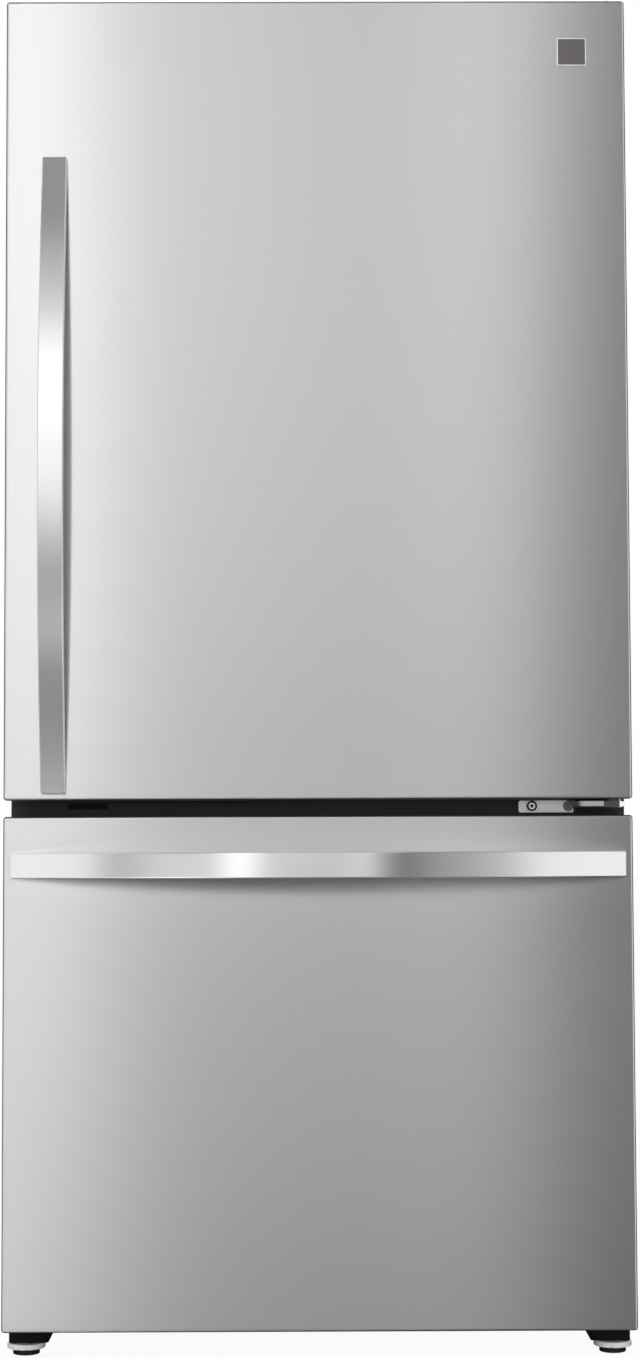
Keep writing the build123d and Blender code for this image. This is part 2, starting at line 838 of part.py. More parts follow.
def make_freezer_door_liner():
    """The drawer front's white inner panel: a flat sheet with a raised hollow field."""
    side = half_width - door_sheet
    sheet = block(-side, side, door_back - liner_wall, door_back, freezer_low + door_sheet,
                  freezer_high - door_sheet)
    half = freezer_half - dyke_clearance
    low, high = freezer_floor + dyke_clearance, freezer_ceiling - dyke_clearance
    wall = liner_wall
    field = block(-half, half, door_back, door_back + freezer_panel_depth, low, high)
    field = fillet(field.edges().group_by(Axis.Y)[-1], 4)
    hollow = block(-half + wall, half - wall, door_back - wall - 1, door_back + freezer_panel_depth - wall,
                   low + wall, high - wall)
    return sheet + field - hollow


# ---------------------------------------------------------------- handles
def handle_bar(length):
    """A bowed flat bar along X, centred, standing on z = 0, its face at the full projection."""
    half = length / 2
    inner_half = half - handle_foot
    end, mid = handle_end_projection, handle_projection
    under = mid - handle_mid_thickness
    with BuildSketch(Plane.XZ) as side_view:
        with BuildLine():
            ThreePointArc((-half, end), (0, mid), (half, end))
            Line((half, end), (half, 0))
            Line((half, 0), (inner_half, 0))
            ThreePointArc((inner_half, 0), (0, under), (-inner_half, 0))
            Line((-inner_half, 0), (-half, 0))
            Line((-half, 0), (-half, end))
        make_face()
    end_half, mid_half = handle_width / 2, handle_mid_width / 2
    with BuildSketch(Plane.XY) as face_view:
        with BuildLine():
            ThreePointArc((-half, end_half), (0, mid_half), (half, end_half))
            Line((half, end_half), (half, -end_half))
            ThreePointArc((half, -end_half), (0, -mid_half), (-half, -end_half))
            Line((-half, -end_half), (-half, end_half))
        make_face()
    bar = extrude(side_view.sketch, handle_mid_width, both=True) & extrude(face_view.sketch, mid + 1)
    ends = bar.edges().filter_by(Axis.Z)
    bar = fillet([e for e in ends if abs(e.center().X) > half - 0.1], handle_corner)
    return fillet(bar.faces().sort_by(Axis.Z)[-1].edges(), handle_edge)


def handle_stud_places(length):
    return [-length / 2 + handle_foot / 2, length / 2 - handle_foot / 2]


def fridge_handle_place():
    """Turns the bar upright and stands it on the upper door's front face."""
    centre = fridge_handle_low + fridge_handle_length / 2
    return Location(Plane(origin=(fridge_handle_x, door_front, centre), x_dir=(0, 0, 1), z_dir=(0, -1, 0)))


def freezer_handle_place():
    return Location(Plane(origin=(0, door_front, freezer_handle_z), x_dir=(1, 0, 0), z_dir=(0, -1, 0)))


def handle_studs(length, place, radius, flange):
    """Mounting studs from behind a door's skin into the handle's two feet."""
    studs = []
    for x in handle_stud_places(length):
        stud = rod(radius, (x, 0, -door_sheet), (x, 0, handle_stud_reach))
        if flange:
            stud += rod(stud_flange_radius, (x, 0, -door_sheet - stud_flange_thickness), (x, 0, -door_sheet))
        studs.append(place * stud)
    return studs


def make_handle(length, place):
    bar = handle_bar(length)
    for x in handle_stud_places(length):
        bar -= rod(handle_stud_radius, (x, 0, -1), (x, 0, handle_stud_reach))
    return place * bar


def make_badge():
    """A bare square plate in the upper right corner of the upper door."""
    z = fridge_high - badge_drop
    plate = block(badge_x - badge_width / 2, badge_x + badge_width / 2, door_front - badge_thickness,
                  door_front, z - badge_height / 2, z + badge_height / 2)
    plate = fillet(plate.edges().filter_by(Axis.Y), 2)
    return chamfer(plate.edges().group_by(Axis.Y)[0], 0.4)


# ---------------------------------------------------------------- fridge interior
def framed_glass(z):
    """A shelf's moulded frame, standing on its ledges at one height, and its glass plate."""
    side = fridge_half - part_gap
    front, back = shelf_front, shelf_back
    top = z + shelf_frame_height
    frame = block(-side, side, front, back, z, top)
    frame = fillet(frame.edges().filter_by(Axis.X).group_by(Axis.Y)[0], 3)
    seat = shelf_border - glass_bearing
    frame -= block(-side + shelf_border, side - shelf_border, front + shelf_border, back - shelf_border,
                   z - 1, top + 1)
    glass = block(-side + seat, side - seat, front + seat, back - seat, top - glass_thickness, top)
    return frame - glass, glass


def make_shelves():
    """Frames and glass of the shelves, and the frame and glass over the crispers."""
    pairs = [framed_glass(z) for z in shelf_tops()]
    cover_frame, cover_glass = framed_glass(cover_underside())
    low, high = fridge_floor, cover_underside() + 2
    rib = block(-divider_rib, divider_rib, shelf_front, shelf_back, low, high)
    cheek_x = crisper_span(1)[1] + cheek_gap
    cheek = block(cheek_x, cheek_x + divider_rib, shelf_front, shelf_back, low, high)
    bar = block(-shelf_border / 2, shelf_border / 2, shelf_front + shelf_border / 2,
                shelf_back - shelf_border / 2, cover_underside(),
                cover_underside() + shelf_frame_height - glass_thickness)
    frames = Compound([frame for frame, _ in pairs])
    glass = Compound([plate for _, plate in pairs] + [cover_glass])
    return frames, glass, cover_frame + rib + bar + cheek + mirrored(cheek)


def crisper_span(side):
    inner, outer = crisper_middle_gap, fridge_half - crisper_side_gap
    return (inner, outer) if side > 0 else (-outer, -inner)


def make_crisper(side):
    """A clear vegetable drawer with a pull lip along its front edge."""
    x0, x1 = crisper_span(side)
    y0 = crisper_front
    z0 = fridge_floor + seat_gap
    z1 = z0 + crisper_height
    drawer = tub(x0, x1, y0, crisper_back, z0, z1, crisper_wall, crisper_corner)
    grip = block(x0 + crisper_corner, x1 - crisper_corner, y0 + crisper_wall / 2, y0 + crisper_lip,
                 z1 - crisper_lip, z1 - crisper_lip + crisper_wall)
    return drawer + grip


def make_duct_panel():
    """The cold-air duct cover on the fridge's rear wall, open behind, with slots in front."""
    z0, z1 = fridge_floor + duct_low, fridge_ceiling - duct_top_gap
    y0 = fridge_back - duct_depth
    shell = block(-duct_half_width, duct_half_width, y0, fridge_back, z0, z1)
    shell = fillet(shell.edges().filter_by(Axis.Z).group_by(Axis.Y)[0], 8)
    wall = duct_wall
    shell -= block(-duct_half_width + wall, duct_half_width - wall, y0 + wall, fridge_back + 1,
                   z0 + wall, z1 - wall)
    pitch = (z1 - z0) / duct_slot_count
    for i in range(duct_slot_count):
        z = z0 + (i + 0.5) * pitch
        for side in (-1, 1):
            x = side * duct_half_width / 2
            shell -= block(x - 24, x + 24, y0 - 1, y0 + wall + 1, z - 4, z + 4)
    return shell


def button_box(side, gap):
    x = side * button_offset
    z = fridge_ceiling - panel_height / 2
    front = case_front + panel_front_set
    return block(x - button_width / 2 - gap, x + button_width / 2 + gap, front - button_proud,
                 front + button_depth + gap, z - button_height / 2 - gap, z + button_height / 2 + gap)


def make_control_panel():
    """The temperature panel and lamp housing under the fridge's ceiling."""
    front = case_front + panel_front_set
    housing = block(-panel_width / 2, panel_width / 2, front, front + panel_depth,
                    fridge_ceiling - panel_height, fridge_ceiling)
    housing = fillet(housing.edges().filter_by(Axis.Z), 10)
    for side in (-1, 1):
        x = side * button_offset
        z = fridge_ceiling - panel_height / 2
        half, tall = button_width / 2 + seat_gap, button_height / 2 + seat_gap
        housing -= block(x - half, x + half, front - 1, front + button_depth + 3, z - tall, z + tall)
    return housing


def make_button(side):
    key = button_box(side, 0)
    return fillet(key.edges().group_by(Axis.Y)[0], 0.6)


# ---------------------------------------------------------------- freezer interior
def rail_low():
    return freezer_step + rail_above_step


def rail_member(level):
    """One left-hand channel of the telescopic rail; level 0 is fixed to the liner."""
    step = level * (rail_sheet + seat_gap)
    web = -freezer_half + step
    mouth = -freezer_half + rail_reach + level * rail_step
    z0 = rail_low() + step
    z1 = rail_low() + rail_height - step
    channel = block(web, mouth, rail_front, rail_back, z0, z1)
    return channel - block(web + rail_sheet, mouth + 1, rail_front - 1, rail_back + 1,
                           z0 + rail_sheet, z1 - rail_sheet)


def make_rail_pair(level):
    left = rail_member(level)
    return Compound([left, mirrored(left)])


def drawer_plate_x():
    return freezer_half - rail_reach - 2 * rail_step


def make_drawer_brackets():
    """The moving rail channels with the plates that carry the drawer front and the basket."""
    face = door_back + freezer_panel_depth
    channel = rail_member(2)
    step = 2 * (rail_sheet + seat_gap)
    z0, z1 = rail_low() + step, rail_low() + rail_height - step
    x = -drawer_plate_x()
    plate = block(x, x + bracket_plate, face, rail_back, z0, z1)
    foot = z0 - bracket_tab_drop
    tab = block(x, x + bracket_tab, face, face + bracket_plate, foot, z1)
    gusset = block(x, x + bracket_plate, face, face + bracket_gusset_reach, foot, z0 + 1)
    left = channel + plate + tab + gusset
    return Compound([left, mirrored(left)])


def basket_rim_z():
    step = 2 * (rail_sheet + seat_gap)
    return rail_low() + rail_height - step


def make_basket():
    """The deep bin of the freezer drawer, hung by its side rims on the bracket plates."""
    x = drawer_plate_x() - bracket_plate - part_gap
    z0 = freezer_floor + basket_floor_gap
    z1 = basket_rim_z() + basket_wall
    bin_shape = tub(-x, x, basket_front, basket_back, z0, z1, basket_wall, bin_corner)
    rim = block(-x - bracket_plate - part_gap - 1, -x + 1, basket_front + bin_corner,
                basket_back - bin_corner, basket_rim_z(), z1)
    return bin_shape + rim + mirrored(rim)


def make_tray():
    """The shallow tray above the basket, hung by its rims on the liner's ledges."""
    side = freezer_half - tray_ledge - part_gap
    z1 = tray_rim_z() + tray_wall
    body = tub(-side, side, tray_front, tray_back, tray_low, z1, tray_wall, bin_corner)
    rim = block(-freezer_half + part_gap, -side + 1, tray_front + bin_corner, tray_back - bin_corner,
                z1 - tray_wall, z1)
    return body + rim + mirrored(rim)


def fan_z():
    return freezer_ceiling - evaporator_fan_drop


def make_evaporator_cover():
    """The freezer's rear panel in front of the evaporator, with a fan grille and return slots."""
    y = evaporator_cover_y
    side = freezer_half - part_gap
    panel = block(-side, side, y, y + cover_wall, freezer_step, freezer_ceiling - part_gap)
    slots = []
    for i in range(-2, 3):
        z = fan_z() + i * 14
        reach = math.sqrt(max(evaporator_fan_radius ** 2 - (i * 14) ** 2, 100)) - 4
        slots.append(block(-reach, reach, y - 1, y + cover_wall + 1, z - 3, z + 3))
    for i in range(-6, 7):
        slots.append(block(i * 40 - 12, i * 40 + 12, y - 1, y + cover_wall + 1, freezer_step + 14,
                           freezer_step + 22))
    panel = (panel & freezer_space(-seat_gap, case_front)) - slots
    arms = []
    y1 = y + evaporator_fan_set + fan_depth
    for side in (-1, 1):
        x = side * (evaporator_fan_radius + 8)
        arms.append(block(x - 4, x + 4, y + cover_wall, y1 + 8, fan_z() - 4, fan_z() + 4))
    return panel + arms


def make_evaporator_fan_motor():
    """The fan motor, its shaft towards the front, on a bar that the rear panel's arms carry."""
    y0 = evaporator_cover_y + evaporator_fan_set + fan_depth + 8
    reach = evaporator_fan_radius + 12
    bar = block(-reach, reach, y0, y0 + 3, fan_z() - 6, fan_z() + 6)
    motor = rod(16, (0, y0, fan_z()), (0, y0 + 34, fan_z()))
    shaft = rod(2.5, (0, y0 - fan_depth - 5, fan_z()), (0, y0, fan_z()))
    return bar + motor + shaft


def make_evaporator_fan():
    bore = 2.5 + running_gap
    wheel = fan(evaporator_fan_radius - 6, 12, fan_depth, bore)
    y1 = evaporator_cover_y + evaporator_fan_set + fan_depth
    place = Location(Plane(origin=(0, y1, fan_z()), x_dir=(1, 0, 0), z_dir=(0, -1, 0)))
    return place * wheel


def make_evaporator():
    """A finned coil that stands on the freezer's step against its rear wall."""
    half = evaporator_width / 2
    y0, y1 = freezer_back - evaporator_thickness, freezer_back
    z0 = freezer_step + evaporator_rise
    z1 = fan_z() - evaporator_fan_radius - evaporator_top_gap
    coil = finned_block(-half, half, y0, y1, z0, z1, evaporator_fin_pitch, 5, 2)
    foot = block(-half, -half + 3, y0, y1, freezer_step, z1)
    return coil + foot + mirrored(foot)


# ---------------------------------------------------------------- machine compartment
def machine_y():
    return (machine_front + case_back - rear_cover_set) / 2


def compressor_feet():
    span = compressor_foot_span / 2
    return [(compressor_x + i * span, machine_y() + j * span * 0.7) for i in (-1, 1) for j in (-1, 1)]


def make_compressor():
    """A sealed compressor shell with its foot plate, terminal box and pipe stubs."""
    base = (Align.CENTER, Align.CENTER, Align.MIN)
    plate_z = base_top + grommet_height
    shell_z = plate_z + 3
    shell = Cylinder(compressor_radius, compressor_height, align=base)
    shell = fillet(shell.edges().filter_by(GeomType.CIRCLE), compressor_radius * 0.45)
    band = Pos(0, 0, compressor_height * 0.5) * Cylinder(compressor_radius + 3, 6, align=base)
    body = Pos(compressor_x, machine_y(), shell_z - 3) * (shell + band)
    span = compressor_foot_span / 2 + grommet_radius
    plate = block(compressor_x - span, compressor_x + span, machine_y() - span * 0.78,
                  machine_y() + span * 0.78, plate_z, shell_z)
    terminal_z = shell_z + terminal_low
    terminal = block(compressor_x - compressor_radius - terminal_reach,
                     compressor_x - compressor_radius + terminal_reach, machine_y() - terminal_half_width,
                     machine_y() + terminal_half_width, terminal_z, terminal_z + terminal_height)
    side = compressor_x + compressor_radius - 4
    stub_z = shell_z + compressor_height * 0.6
    stubs = [rod(4, (side, machine_y() + dy, stub_z), (side + 26, machine_y() + dy, stub_z))
             for dy in (-14, 14)]
    return body + plate + terminal + stubs


def make_compressor_mounts():
    return Compound([rod(grommet_radius, (x, y, base_top), (x, y, base_top + grommet_height))
                     for x, y in compressor_feet()])


def make_condenser():
    """A finned coil on two end plates that stand on the base."""
    x0 = -half_width + condenser_left
    x1 = x0 + condenser_width
    y0, y1 = machine_y() - condenser_depth / 2, machine_y() + condenser_depth / 2
    z0 = base_top + 20
    z1 = z0 + condenser_height
    coil = finned_block(x0, x1, y0, y1, z0, z1, condenser_fin_pitch, 4, 3)
    ends = [block(x, x + 2, y0, y1, base_top, z1) for x in (x0, x1 - 2)]
    return coil + ends


def condenser_fan_z():
    return base_top + condenser_fan_radius + 22


def make_condenser_fan_motor():
    """The fan shroud plate with its ring, three arms, motor and shaft."""
    x, y, z = condenser_fan_x, machine_y(), condenser_fan_z()
    reach = condenser_fan_radius + shroud_gap
    frame = block(x, x + shroud_sheet, y - reach - 12, y + reach + 12, base_top, z + reach + 12)
    frame -= rod(reach, (x - 1, y, z), (x + shroud_sheet + 1, y, z))
    motor_x = x + fan_depth + 8
    post = rod(4, (x + shroud_sheet, y, z), (motor_x + 4, y, z))
    arms = []
    for angle in (90, 210, 330):
        away = (reach + 6) * math.cos(math.radians(angle))
        up = (reach + 6) * math.sin(math.radians(angle))
        place = Pos(0, away, up)
        arms.append(place * post)
        spoke = block(motor_x, motor_x + 4, -3, 3, 0, reach + 6)
        arms.append(Pos(0, y, z) * Rot(angle - 90, 0, 0) * spoke)
    motor = rod(motor_radius, (motor_x, y, z), (motor_x + motor_length, y, z))
    shaft = rod(3, (x - 2, y, z), (motor_x, y, z))
    return frame + arms + motor + shaft


def make_condenser_fan():
    wheel = fan(condenser_fan_radius, fan_hub_radius, fan_depth, 3 + running_gap)
    place = Location(Plane(origin=(condenser_fan_x, machine_y(), condenser_fan_z()), x_dir=(0, 1, 0),
                           z_dir=(1, 0, 0)))
    return place * wheel


def make_drain_pan():
    y0, y1 = machine_front + 12, case_back - rear_cover_set - 12
    return tub(drain_left, drain_right, y0, y1, base_top, base_top + drain_height, drain_wall, 10)


def make_machine_cover():
    """The slotted rear cover of the machine compartment, with a hole for the cable gland."""
    y1 = case_back - rear_cover_set
    side = half_width - case_sheet - base_sheet
    cover = block(-side, side, y1 - rear_cover_sheet, y1, base_top, machine_top)
    cover -= gland_rod(gland_radius, gland_length * 2)
    low, high = base_top + slot_end_margin, machine_top - slot_end_margin
    slots = []
    for place in slot_group_places:
        for i in range(-slots_each_side, slots_each_side + 1):
            x = place * half_width + i * slot_pitch
            slots.append(block(x - slot_width / 2, x + slot_width / 2, y1 - 5, y1 + 5, low, high))
    return cover - slots


def gland_place():
    return half_width - gland_from_side, base_top + gland_rise


def gland_rod(radius, length):
    x, z = gland_place()
    y1 = case_back - 2
    return rod(radius, (x, y1 - length, z), (x, y1, z))


def make_power_gland():
    """The bushing where the supply cable would enter."""
    x, z = gland_place()
    y1 = case_back - rear_cover_set
    body = gland_rod(gland_radius, gland_length)
    flange = rod(gland_radius + 4, (x, y1, z), (x, y1 + 3, z))
    return body + flange - gland_rod(gland_radius / 2, gland_length * 3)


# ---------------------------------------------------------------- all sub-parts
fridge_studs = handle_studs(fridge_handle_length, fridge_handle_place(), handle_stud_radius, True)
freezer_studs = handle_studs(freezer_handle_length, freezer_handle_place(), handle_stud_radius, True)
shelf_frames, shelf_glass, crisper_cover_frame = make_shelves()

parts = {
    "outer_case": make_outer_case(),
    "rear_panel": make_rear_panel(),
    "cabinet_insulation": make_cabinet_insulation(),
    "fridge_liner": make_fridge_liner(),
    "freezer_liner": make_freezer_liner(),
    "base_frame": make_base_frame(),
    "centre_mullion": make_mullion(),
    "mullion_cap": make_mullion_cap(),
    "leg_brackets": make_leg_brackets(),
    "leveller_left": make_leveller(-1),
    "leveller_right": make_leveller(1),
    "roller_axles": make_roller_axles(),
    "roller_left": make_roller(-1),
    "roller_right": make_roller(1),
    "top_hinge_bracket": make_top_hinge_bracket(),
    "top_hinge_cover": make_top_hinge_cover(),
    "middle_hinge_bracket": make_middle_hinge(),
    "hinge_bolts": make_hinge_bolts(),
    "fridge_door_skin": make_door_skin(fridge_low, fridge_high, fridge_studs),
    "fridge_door_end_caps": make_end_caps(fridge_low, fridge_high, True),
    "fridge_door_insulation": make_door_insulation(fridge_low, fridge_high, True, fridge_studs),
    "fridge_door_liner": make_fridge_door_liner(),
    "fridge_door_gasket": make_gasket(fridge_low, fridge_high, gasket_inset_end, door_above_case + 8),
    "fridge_handle": make_handle(fridge_handle_length, fridge_handle_place()),
    "fridge_handle_studs": Compound(fridge_studs),
    "badge_plate": make_badge(),
    "door_bins": make_door_bins(),
    "freezer_door_skin": make_door_skin(freezer_low, freezer_high, freezer_studs),
    "freezer_door_end_caps": make_end_caps(freezer_low, freezer_high, False),
    "freezer_door_insulation": make_door_insulation(freezer_low, freezer_high, False, freezer_studs),
    "freezer_door_liner": make_freezer_door_liner(),
    "freezer_door_gasket": make_gasket(freezer_low, freezer_high, 12, gasket_inset_end),
    "freezer_handle": make_handle(freezer_handle_length, freezer_handle_place()),
    "freezer_handle_studs": Compound(freezer_studs),
    "shelf_frames": shelf_frames,
    "shelf_glass": shelf_glass,
    "crisper_cover_frame": crisper_cover_frame,
    "crisper_left": make_crisper(-1),
    "crisper_right": make_crisper(1),
    "air_duct_panel": make_duct_panel(),
    "control_panel": make_control_panel(),
    "fridge_button": make_button(-1),
    "freezer_button": make_button(1),
    "drawer_rails_fixed": make_rail_pair(0),
    "drawer_rails_middle": make_rail_pair(1),
    "drawer_brackets": make_drawer_brackets(),
    "freezer_basket": make_basket(),
    "freezer_tray": make_tray(),
    "evaporator_cover": make_evaporator_cover(),
    "evaporator": make_evaporator(),
    "evaporator_fan_motor": make_evaporator_fan_motor(),
    "evaporator_fan": make_evaporator_fan(),
    "compressor": make_compressor(),
    "compressor_mounts": make_compressor_mounts(),
    "condenser": make_condenser(),
    "condenser_fan_motor": make_condenser_fan_motor(),
    "condenser_fan": make_condenser_fan(),
    "drain_pan": make_drain_pan(),
    "machine_cover": make_machine_cover(),
    "power_gland": make_power_gland(),
}

os.makedirs("parts", exist_ok=True)
for name, shape in parts.items():
    export_step(shape, f"parts/{name}.step")
print(len(parts), "sub-parts written")
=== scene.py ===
# %% [markdown]
# # A bottom-freezer refrigerator in brushed stainless steel
#
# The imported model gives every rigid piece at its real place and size, in metres. This lesson dresses it:
# a camera that stands where the photographer stood, one procedural finish for each real material, the small
# pressed and moulded details that only matter to the eye, and a plain white studio.

# %% Load the frame
import math

import bmesh
import bpy
from mathutils import Matrix, Vector


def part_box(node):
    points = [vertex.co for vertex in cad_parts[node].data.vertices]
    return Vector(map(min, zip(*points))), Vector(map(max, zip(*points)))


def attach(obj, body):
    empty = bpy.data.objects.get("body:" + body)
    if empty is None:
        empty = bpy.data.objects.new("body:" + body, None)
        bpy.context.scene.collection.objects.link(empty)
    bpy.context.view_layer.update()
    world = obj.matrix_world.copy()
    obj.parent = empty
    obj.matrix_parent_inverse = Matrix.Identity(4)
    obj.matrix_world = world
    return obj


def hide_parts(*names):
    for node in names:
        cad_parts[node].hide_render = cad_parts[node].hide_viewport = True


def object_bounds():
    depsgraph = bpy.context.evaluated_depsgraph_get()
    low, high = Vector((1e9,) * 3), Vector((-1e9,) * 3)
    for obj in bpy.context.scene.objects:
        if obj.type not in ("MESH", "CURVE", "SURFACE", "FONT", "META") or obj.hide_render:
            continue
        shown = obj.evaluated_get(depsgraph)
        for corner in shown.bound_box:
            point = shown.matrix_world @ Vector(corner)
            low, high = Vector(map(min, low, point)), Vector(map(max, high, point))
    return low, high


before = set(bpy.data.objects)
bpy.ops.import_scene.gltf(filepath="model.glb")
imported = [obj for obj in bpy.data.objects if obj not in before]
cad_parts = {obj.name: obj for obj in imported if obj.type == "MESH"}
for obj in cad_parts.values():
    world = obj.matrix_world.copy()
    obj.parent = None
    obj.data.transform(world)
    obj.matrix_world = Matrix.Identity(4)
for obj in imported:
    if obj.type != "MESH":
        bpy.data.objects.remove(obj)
cad_low, cad_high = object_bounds()
print("cad box", [round(v, 4) for v in (*cad_low, *cad_high)])

# %% [markdown]
# ## Key places
#
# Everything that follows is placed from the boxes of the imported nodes, so a change of size moves it along.
# The front looks along -Y, X runs to the right and Z up. The floor is at Z 0.

# %% Read the key places
mm = 0.001
case_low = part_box("outer_case")[0]
door_low, door_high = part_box("fridge_door_skin")
drawer_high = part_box("freezer_door_skin")[1]
door_face = door_low.y
half_width = door_high.x
print("door face y", round(door_face, 4), "half width", round(half_width, 4))

# %% [markdown]
# ## The camera
#
# The photo is a near front view. The doors are about 3 percent wider at the bottom of the picture than at the top,
# and the tops of the feet show, so the lens stood about 0.7 m above the floor, 3.2 m away, and looked up by a
# few degrees. The level edges also come together a little towards the right, so it was turned a quarter of a
# degree that way, and it leaned by a fifth of a degree. No lens shift is needed.

# %% Place the camera
camera_distance = 3.2
camera_height = 0.6892
camera_side = -0.0104
camera_pitch = 3.433
camera_turn = 0.241
camera_lean = -0.192
camera_lens = 65.03

camera_data = bpy.data.cameras.new("camera")
camera_data.lens = camera_lens
camera = bpy.data.objects.new("camera", camera_data)
bpy.context.collection.objects.link(camera)
camera.location = (camera_side, door_face - camera_distance, camera_height)
turn = Matrix.Rotation(math.radians(-camera_turn), 4, "Z")
look = Matrix.Rotation(math.radians(90 + camera_pitch), 4, "X")
lean = Matrix.Rotation(math.radians(camera_lean), 4, "Z")
camera.rotation_euler = (turn @ look @ lean).to_euler()
bpy.context.scene.camera = camera
bpy.context.scene.view_settings.view_transform = "Standard"
print("camera at", [round(v, 3) for v in camera.location])

# %% [markdown]
# ## Shader maths as Python
#
# A finish is a small graph of nodes. Written by hand it takes many lines, so one class wraps a socket and lets
# + - * / add Math nodes. The reflected forms let a plain number stand first, as in 1 - mask.


# %% A socket that can be added and multiplied
class Wire:
    """An output socket of a finish; arithmetic on it adds Math nodes."""

    def __init__(self, graph, socket):
        self.graph = graph
        self.socket = socket

    def maths(self, operation, *values):
        return self.graph.add("ShaderNodeMath", {"operation": operation}, values)

    def __add__(self, other):
        return self.maths("ADD", self, other)

    def __radd__(self, other):
        return self.maths("ADD", other, self)

    def __sub__(self, other):
        return self.maths("SUBTRACT", self, other)

    def __rsub__(self, other):
        return self.maths("SUBTRACT", other, self)

    def __mul__(self, other):
        return self.maths("MULTIPLY", self, other)

    def __rmul__(self, other):
        return self.maths("MULTIPLY", other, self)

    def __truediv__(self, other):
        return self.maths("DIVIDE", self, other)

    def __rtruediv__(self, other):
        return self.maths("DIVIDE", other, self)

    def __or__(self, other):
        """The larger of the two: where masks are 0 or 1, this joins them."""
        return self.maths("MAXIMUM", self, other)

    def __ror__(self, other):
        return self.maths("MAXIMUM", other, self)

    def __abs__(self):
        return self.maths("ABSOLUTE", self)

    def above(self, limit):
        """1 where the value is above the limit, else 0."""
        return self.maths("GREATER_THAN", self, limit)

    def to_nearest(self, spacing):
        """The distance to the nearest even multiple of a spacing, for rows of beads or rivets."""
        return self.maths("PINGPONG", self, spacing)

    def ramp(self, low, high):
        """0 below low, 1 above high, smooth between."""
        settings = {"interpolation_type": "SMOOTHSTEP"}
        return self.graph.add("ShaderNodeMapRange", settings, {"Value": self, "From Min": low, "From Max": high})


# %% [markdown]
# ## One method for every other node
#
# Noise, voronoi, mix and bump nodes all come from the same method: it takes the node's type, its settings, and
# the values or wires of its sockets. A plain number on a colour socket is taken as a grey.


# %% A graph of nodes that is built by one method
class Graph:
    """A node tree whose nodes are added by one method."""

    def __init__(self, tree):
        self.tree = tree

    @staticmethod
    def plain(value, socket):
        """Turns a grey number or three values into what a colour socket holds."""
        if socket.type == "RGBA":
            grey = isinstance(value, (int, float))
            return (value, value, value, 1) if grey else (*value[:3], 1)
        return value

    def add(self, kind, settings=None, inputs=None, output=0):
        """Adds a node: its settings first, then its sockets by number or name."""
        node = self.tree.nodes.new(kind)
        for key, value in (settings or {}).items():
            setattr(node, key, value)
        pairs = inputs.items() if isinstance(inputs, dict) else enumerate(inputs or ())
        for key, value in pairs:
            socket = node.inputs[key]
            if isinstance(value, Wire):
                self.tree.links.new(value.socket, socket)
            else:
                socket.default_value = self.plain(value, socket)
        return Wire(self, node.outputs[output])

    def feed(self, node, name, wire):
        self.tree.links.new(wire.socket, node.inputs[name])

    def blend(self, factor, first, second):
        """A colour between two colours."""
        return self.add("ShaderNodeMix", {"data_type": "RGBA"}, {0: factor, 6: first, 7: second}, 2)


# %% [markdown]
# ## A material for the object
#
# Every finish is one principled shader. What is the same all over is set on the shader's own socket; only what
# varies comes through a wire. The patterns are laid out in metres on the piece itself, so they have their real
# size on every piece and move with it.


# %% Materials
class Material(Graph):
    """A named material and its node tree."""

    def __init__(self, name):
        self.material = bpy.data.materials.new(name)
        self.material.use_nodes = True
        super().__init__(self.material.node_tree)


class Finish(Material):
    """A material whose principled shader takes plain values and wires."""

    def __init__(self, name, values=None):
        super().__init__(name)
        self.shader = self.tree.nodes["Principled BSDF"]
        for key, value in (values or {}).items():
            self.shader.inputs[key].default_value = self.plain(value, self.shader.inputs[key])

    def surface(self, name, wire):
        """Sends a wire to a socket of the shader."""
        self.feed(self.shader, name, wire)

    def place(self):
        """The point's own place on the piece, in metres."""
        return self.add("ShaderNodeTexCoord", output="Object")

    def axis(self, letter):
        return self.add("ShaderNodeSeparateXYZ", {}, [self.place()], letter)

    def stretched(self, grains):
        """The place, counted in grains per metre: one number, or one for each axis."""
        if isinstance(grains, (int, float)):
            grains = (grains,) * 3
        return self.add("ShaderNodeVectorMath", {"operation": "MULTIPLY"}, [self.place(), grains])

    def noise(self, grains, detail=3.0, rough=0.5):
        """Noise from 0 to 1 with a number of grains per metre."""
        return self.add("ShaderNodeTexNoise", {}, {"Vector": self.stretched(grains), "Scale": 1.0,
                                                   "Detail": detail, "Roughness": rough})

    def reach(self, one, other):
        """The distance that two offsets make together."""
        return self.add("ShaderNodeMath", {"operation": "SQRT"}, [one * one + other * other])

    def bump(self, height, strength, distance):
        """The last step of a finish: gives the surface its relief, and reports the finish."""
        self.surface("Normal", self.add("ShaderNodeBump", {},
                                        {"Height": height, "Strength": strength, "Distance": distance}))
        print("finish", self.material.name, len(self.tree.nodes), "nodes")
        return self
